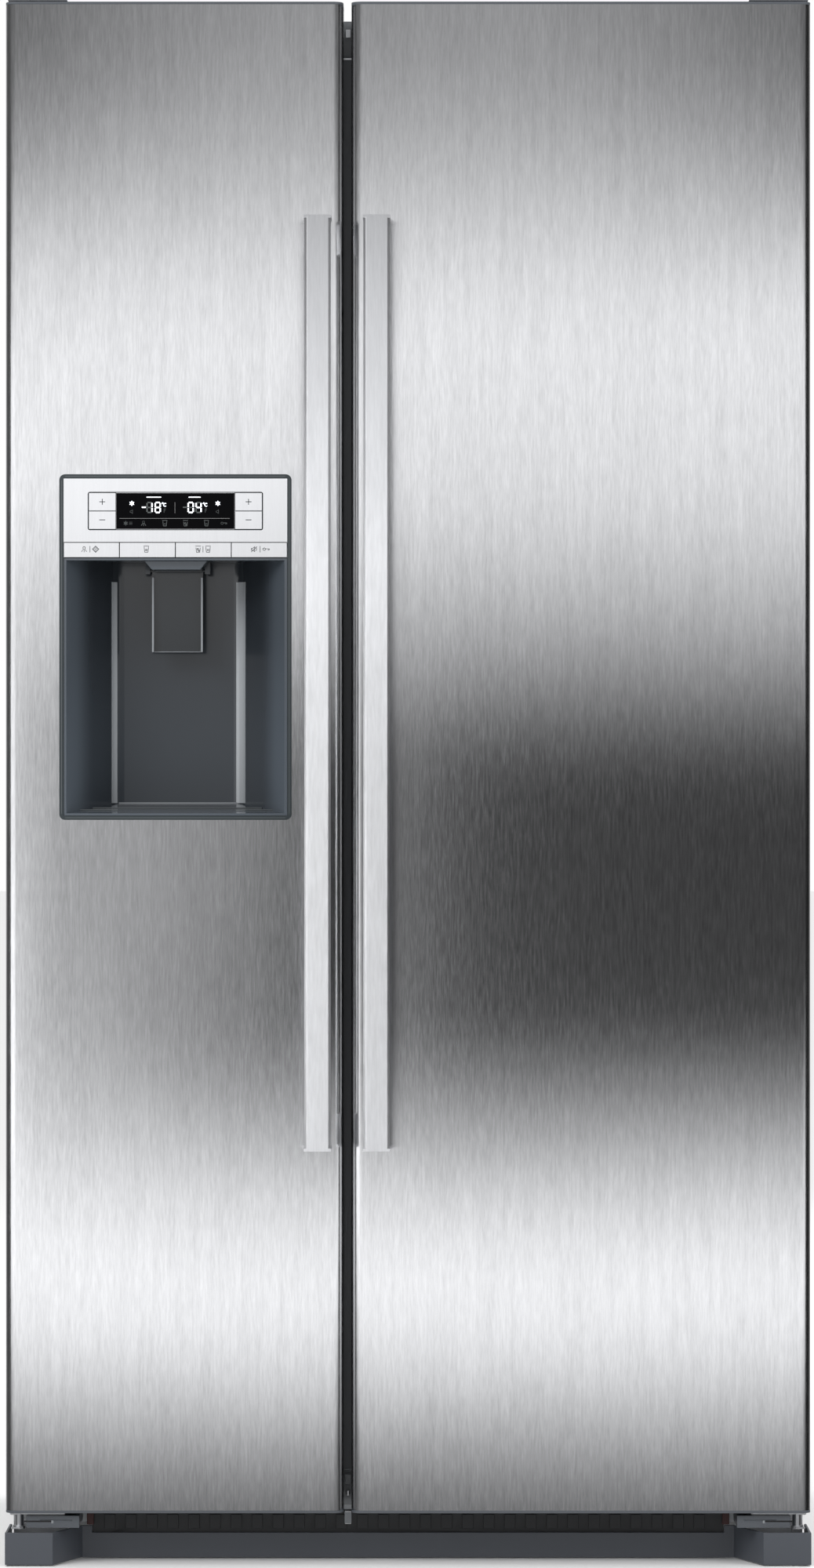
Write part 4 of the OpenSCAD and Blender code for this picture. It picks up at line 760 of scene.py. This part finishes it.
# each: its place, what it aims at, its width and its watts
lamps = {"key": ((-2.6, -3.4, 3.2), (0, 0, 0.9), 2.2, 90), "fill": ((3.2, -2.2, 1.8), (0, 0, 0.8), 2.0, 30),
         "rear": ((1.5, 3.6, 3.2), (0, 0, 0.9), 2.2, 70)}


def studioWorld():
    world = bpy.data.worlds.new("studio")
    bpy.context.scene.world = world
    world.use_nodes = True
    g = Graph(world.node_tree)
    back = world.node_tree.nodes["Background"]
    way = g.node("ShaderNodeTexCoord", out=0)
    across, _, up = [g.node("ShaderNodeSeparateXYZ", inputs={0: way}, out=i) for i in range(3)]
    soft = g.spread(up, -0.5, 0.9, 0.42, 1.0)
    seen, mirrored = (g.node("ShaderNodeLightPath", out=i) for i in (0, 3))
    dark = (g.spread(across, *studio["right"], 0, studio["darkRight"]) +
            g.spread(across, *studio["left"], studio["darkLeft"], 0))
    level = (soft * (1 - dark * mirrored)) * (1 - seen) + seen
    world.node_tree.links.new(level.socket, back.inputs["Strength"])
    back.inputs["Color"].default_value = (1, 1, 1, 1)


def plane(name, corners):
    mesh = bpy.data.meshes.new(name)
    mesh.from_pydata(corners, [], [(0, 1, 2, 3)])
    made = bpy.data.objects.new(name, mesh)
    bpy.context.scene.collection.objects.link(made)
    return made


def floor():
    r = studio["floorRadius"]
    ground = plane("floor", [(-r, -r, 0), (r, -r, 0), (r, r, 0), (-r, r, 0)])
    ground.data.materials.append(surface("floor", lambda g: {
        "Base Color": g.tint((0.95, 0.95, 0.95), 0.98 + g.noise((0.7, 0.7, 0.7)) * 0.02)}, Roughness=0.8))
    ground.visible_glossy = False


# The reflector stands for a bright room with a dark doorway: it brightens with height to a level
# stretch, dims again to the top, and the doorway is a soft dark patch to the right of the middle
cardLight = {"peak": 0.99, "foot": 0.10, "rise": (-0.19, 0.24), "fall": (1.28, 1.98), "fallBy": 0.72,
             "dip": (0.35, 1.15), "dipEnd": (1.17, 1.34), "dipBy": 0.17,
             "patchFoot": (0.10, 0.58), "patchTop": (0.87, 1.27), "patchTopBy": 0.70, "patchEnd": (1.3, 1.6),
             "patchLeft": (-1.0, -0.50), "patchLeftBy": 0.64, "patchMiddle": (-0.38, -0.02),
             "patchMiddleBy": 0.324, "sides": 1.2, "sidesMost": 0.60, "sidesFrom": (1.5, 2.0)}


def reflector():
    y = faceY - studio["cardAhead"]
    half, foot, top = studio["cardHalf"], studio["cardFoot"], studio["cardTop"]
    card = plane("reflector", [(-half, y, foot), (half, y, foot), (half, y, top), (-half, y, top)])
    made = bpy.data.materials.new("reflector")
    made.use_nodes = True
    tree = made.node_tree
    tree.nodes.remove(tree.nodes["Principled BSDF"])
    g = Graph(tree)
    x, _, z = g.axes()
    c = cardLight

    def ease(value, name):
        return g.spread(value, *c[name])
    base = c["peak"] * (c["foot"] + (1 - c["foot"]) * ease(z, "rise")) * (1 - c["fallBy"] * ease(z, "fall"))
    base = base * (1 - c["dipBy"] * ease(z, "dip") * (1 - ease(z, "dipEnd")))
    patch = ease(z, "patchFoot") * (1 - c["patchTopBy"] * ease(z, "patchTop")) * (1 - ease(z, "patchEnd"))
    patch = patch * (c["patchLeftBy"] * ease(x, "patchLeft") + c["patchMiddleBy"] * ease(x, "patchMiddle"))
    far = g.node("ShaderNodeMath", {"operation": "MINIMUM"}, {0: x * x * c["sides"], 1: c["sidesMost"]})
    level = base * (1 - patch) * (1 - far * ease(z, "sidesFrom")) / studio["steel"]
    glow = g.node("ShaderNodeEmission", inputs={"Color": (0.985, 0.99, 1.0, 1), "Strength": level})
    tree.links.new(glow.socket, tree.nodes["Material Output"].inputs["Surface"])
    card.data.materials.append(made)
    for ray in ("camera", "diffuse", "transmission", "volume_scatter", "shadow"):
        setattr(card, "visible_" + ray, False)


def lamp(name, place, aim, size, watts):
    data = bpy.data.lights.new(name, "AREA")
    data.shape, data.size, data.energy = "DISK", size, watts
    made = bpy.data.objects.new(name, data)
    made.location = place
    turn = np.array(aim) - np.array(place)
    made.rotation_euler = (math.atan2(math.hypot(turn[0], turn[1]), -turn[2]), 0,
                           math.atan2(turn[1], turn[0]) - math.pi / 2)
    made.visible_glossy = False
    bpy.context.scene.collection.objects.link(made)
    return made


# A tall strip to the left that lights the two handles only
handleLight = {"place": (-1.15, -1.7, 0.84), "aim": (-0.07, -0.36, 0.84), "wide": 0.3, "tall": 0.9,
               "watts": 13}


def handleLamp():
    made = lamp("handle strip", *[handleLight[key] for key in ("place", "aim", "wide", "watts")])
    made.data.shape, made.data.size_y = "RECTANGLE", handleLight["tall"]
    made.visible_glossy = True
    lit = bpy.data.collections.new("handles")
    for node in handles:
        lit.objects.link(bpy.data.objects[node + "_eased"])
    made.light_linking.receiver_collection = lit


studioWorld()
floor()
reflector()
for name, look in lamps.items():
    lamp(name, *look)
handleLamp()
bpy.context.scene.view_settings.view_transform = "Standard"
print("studio made")
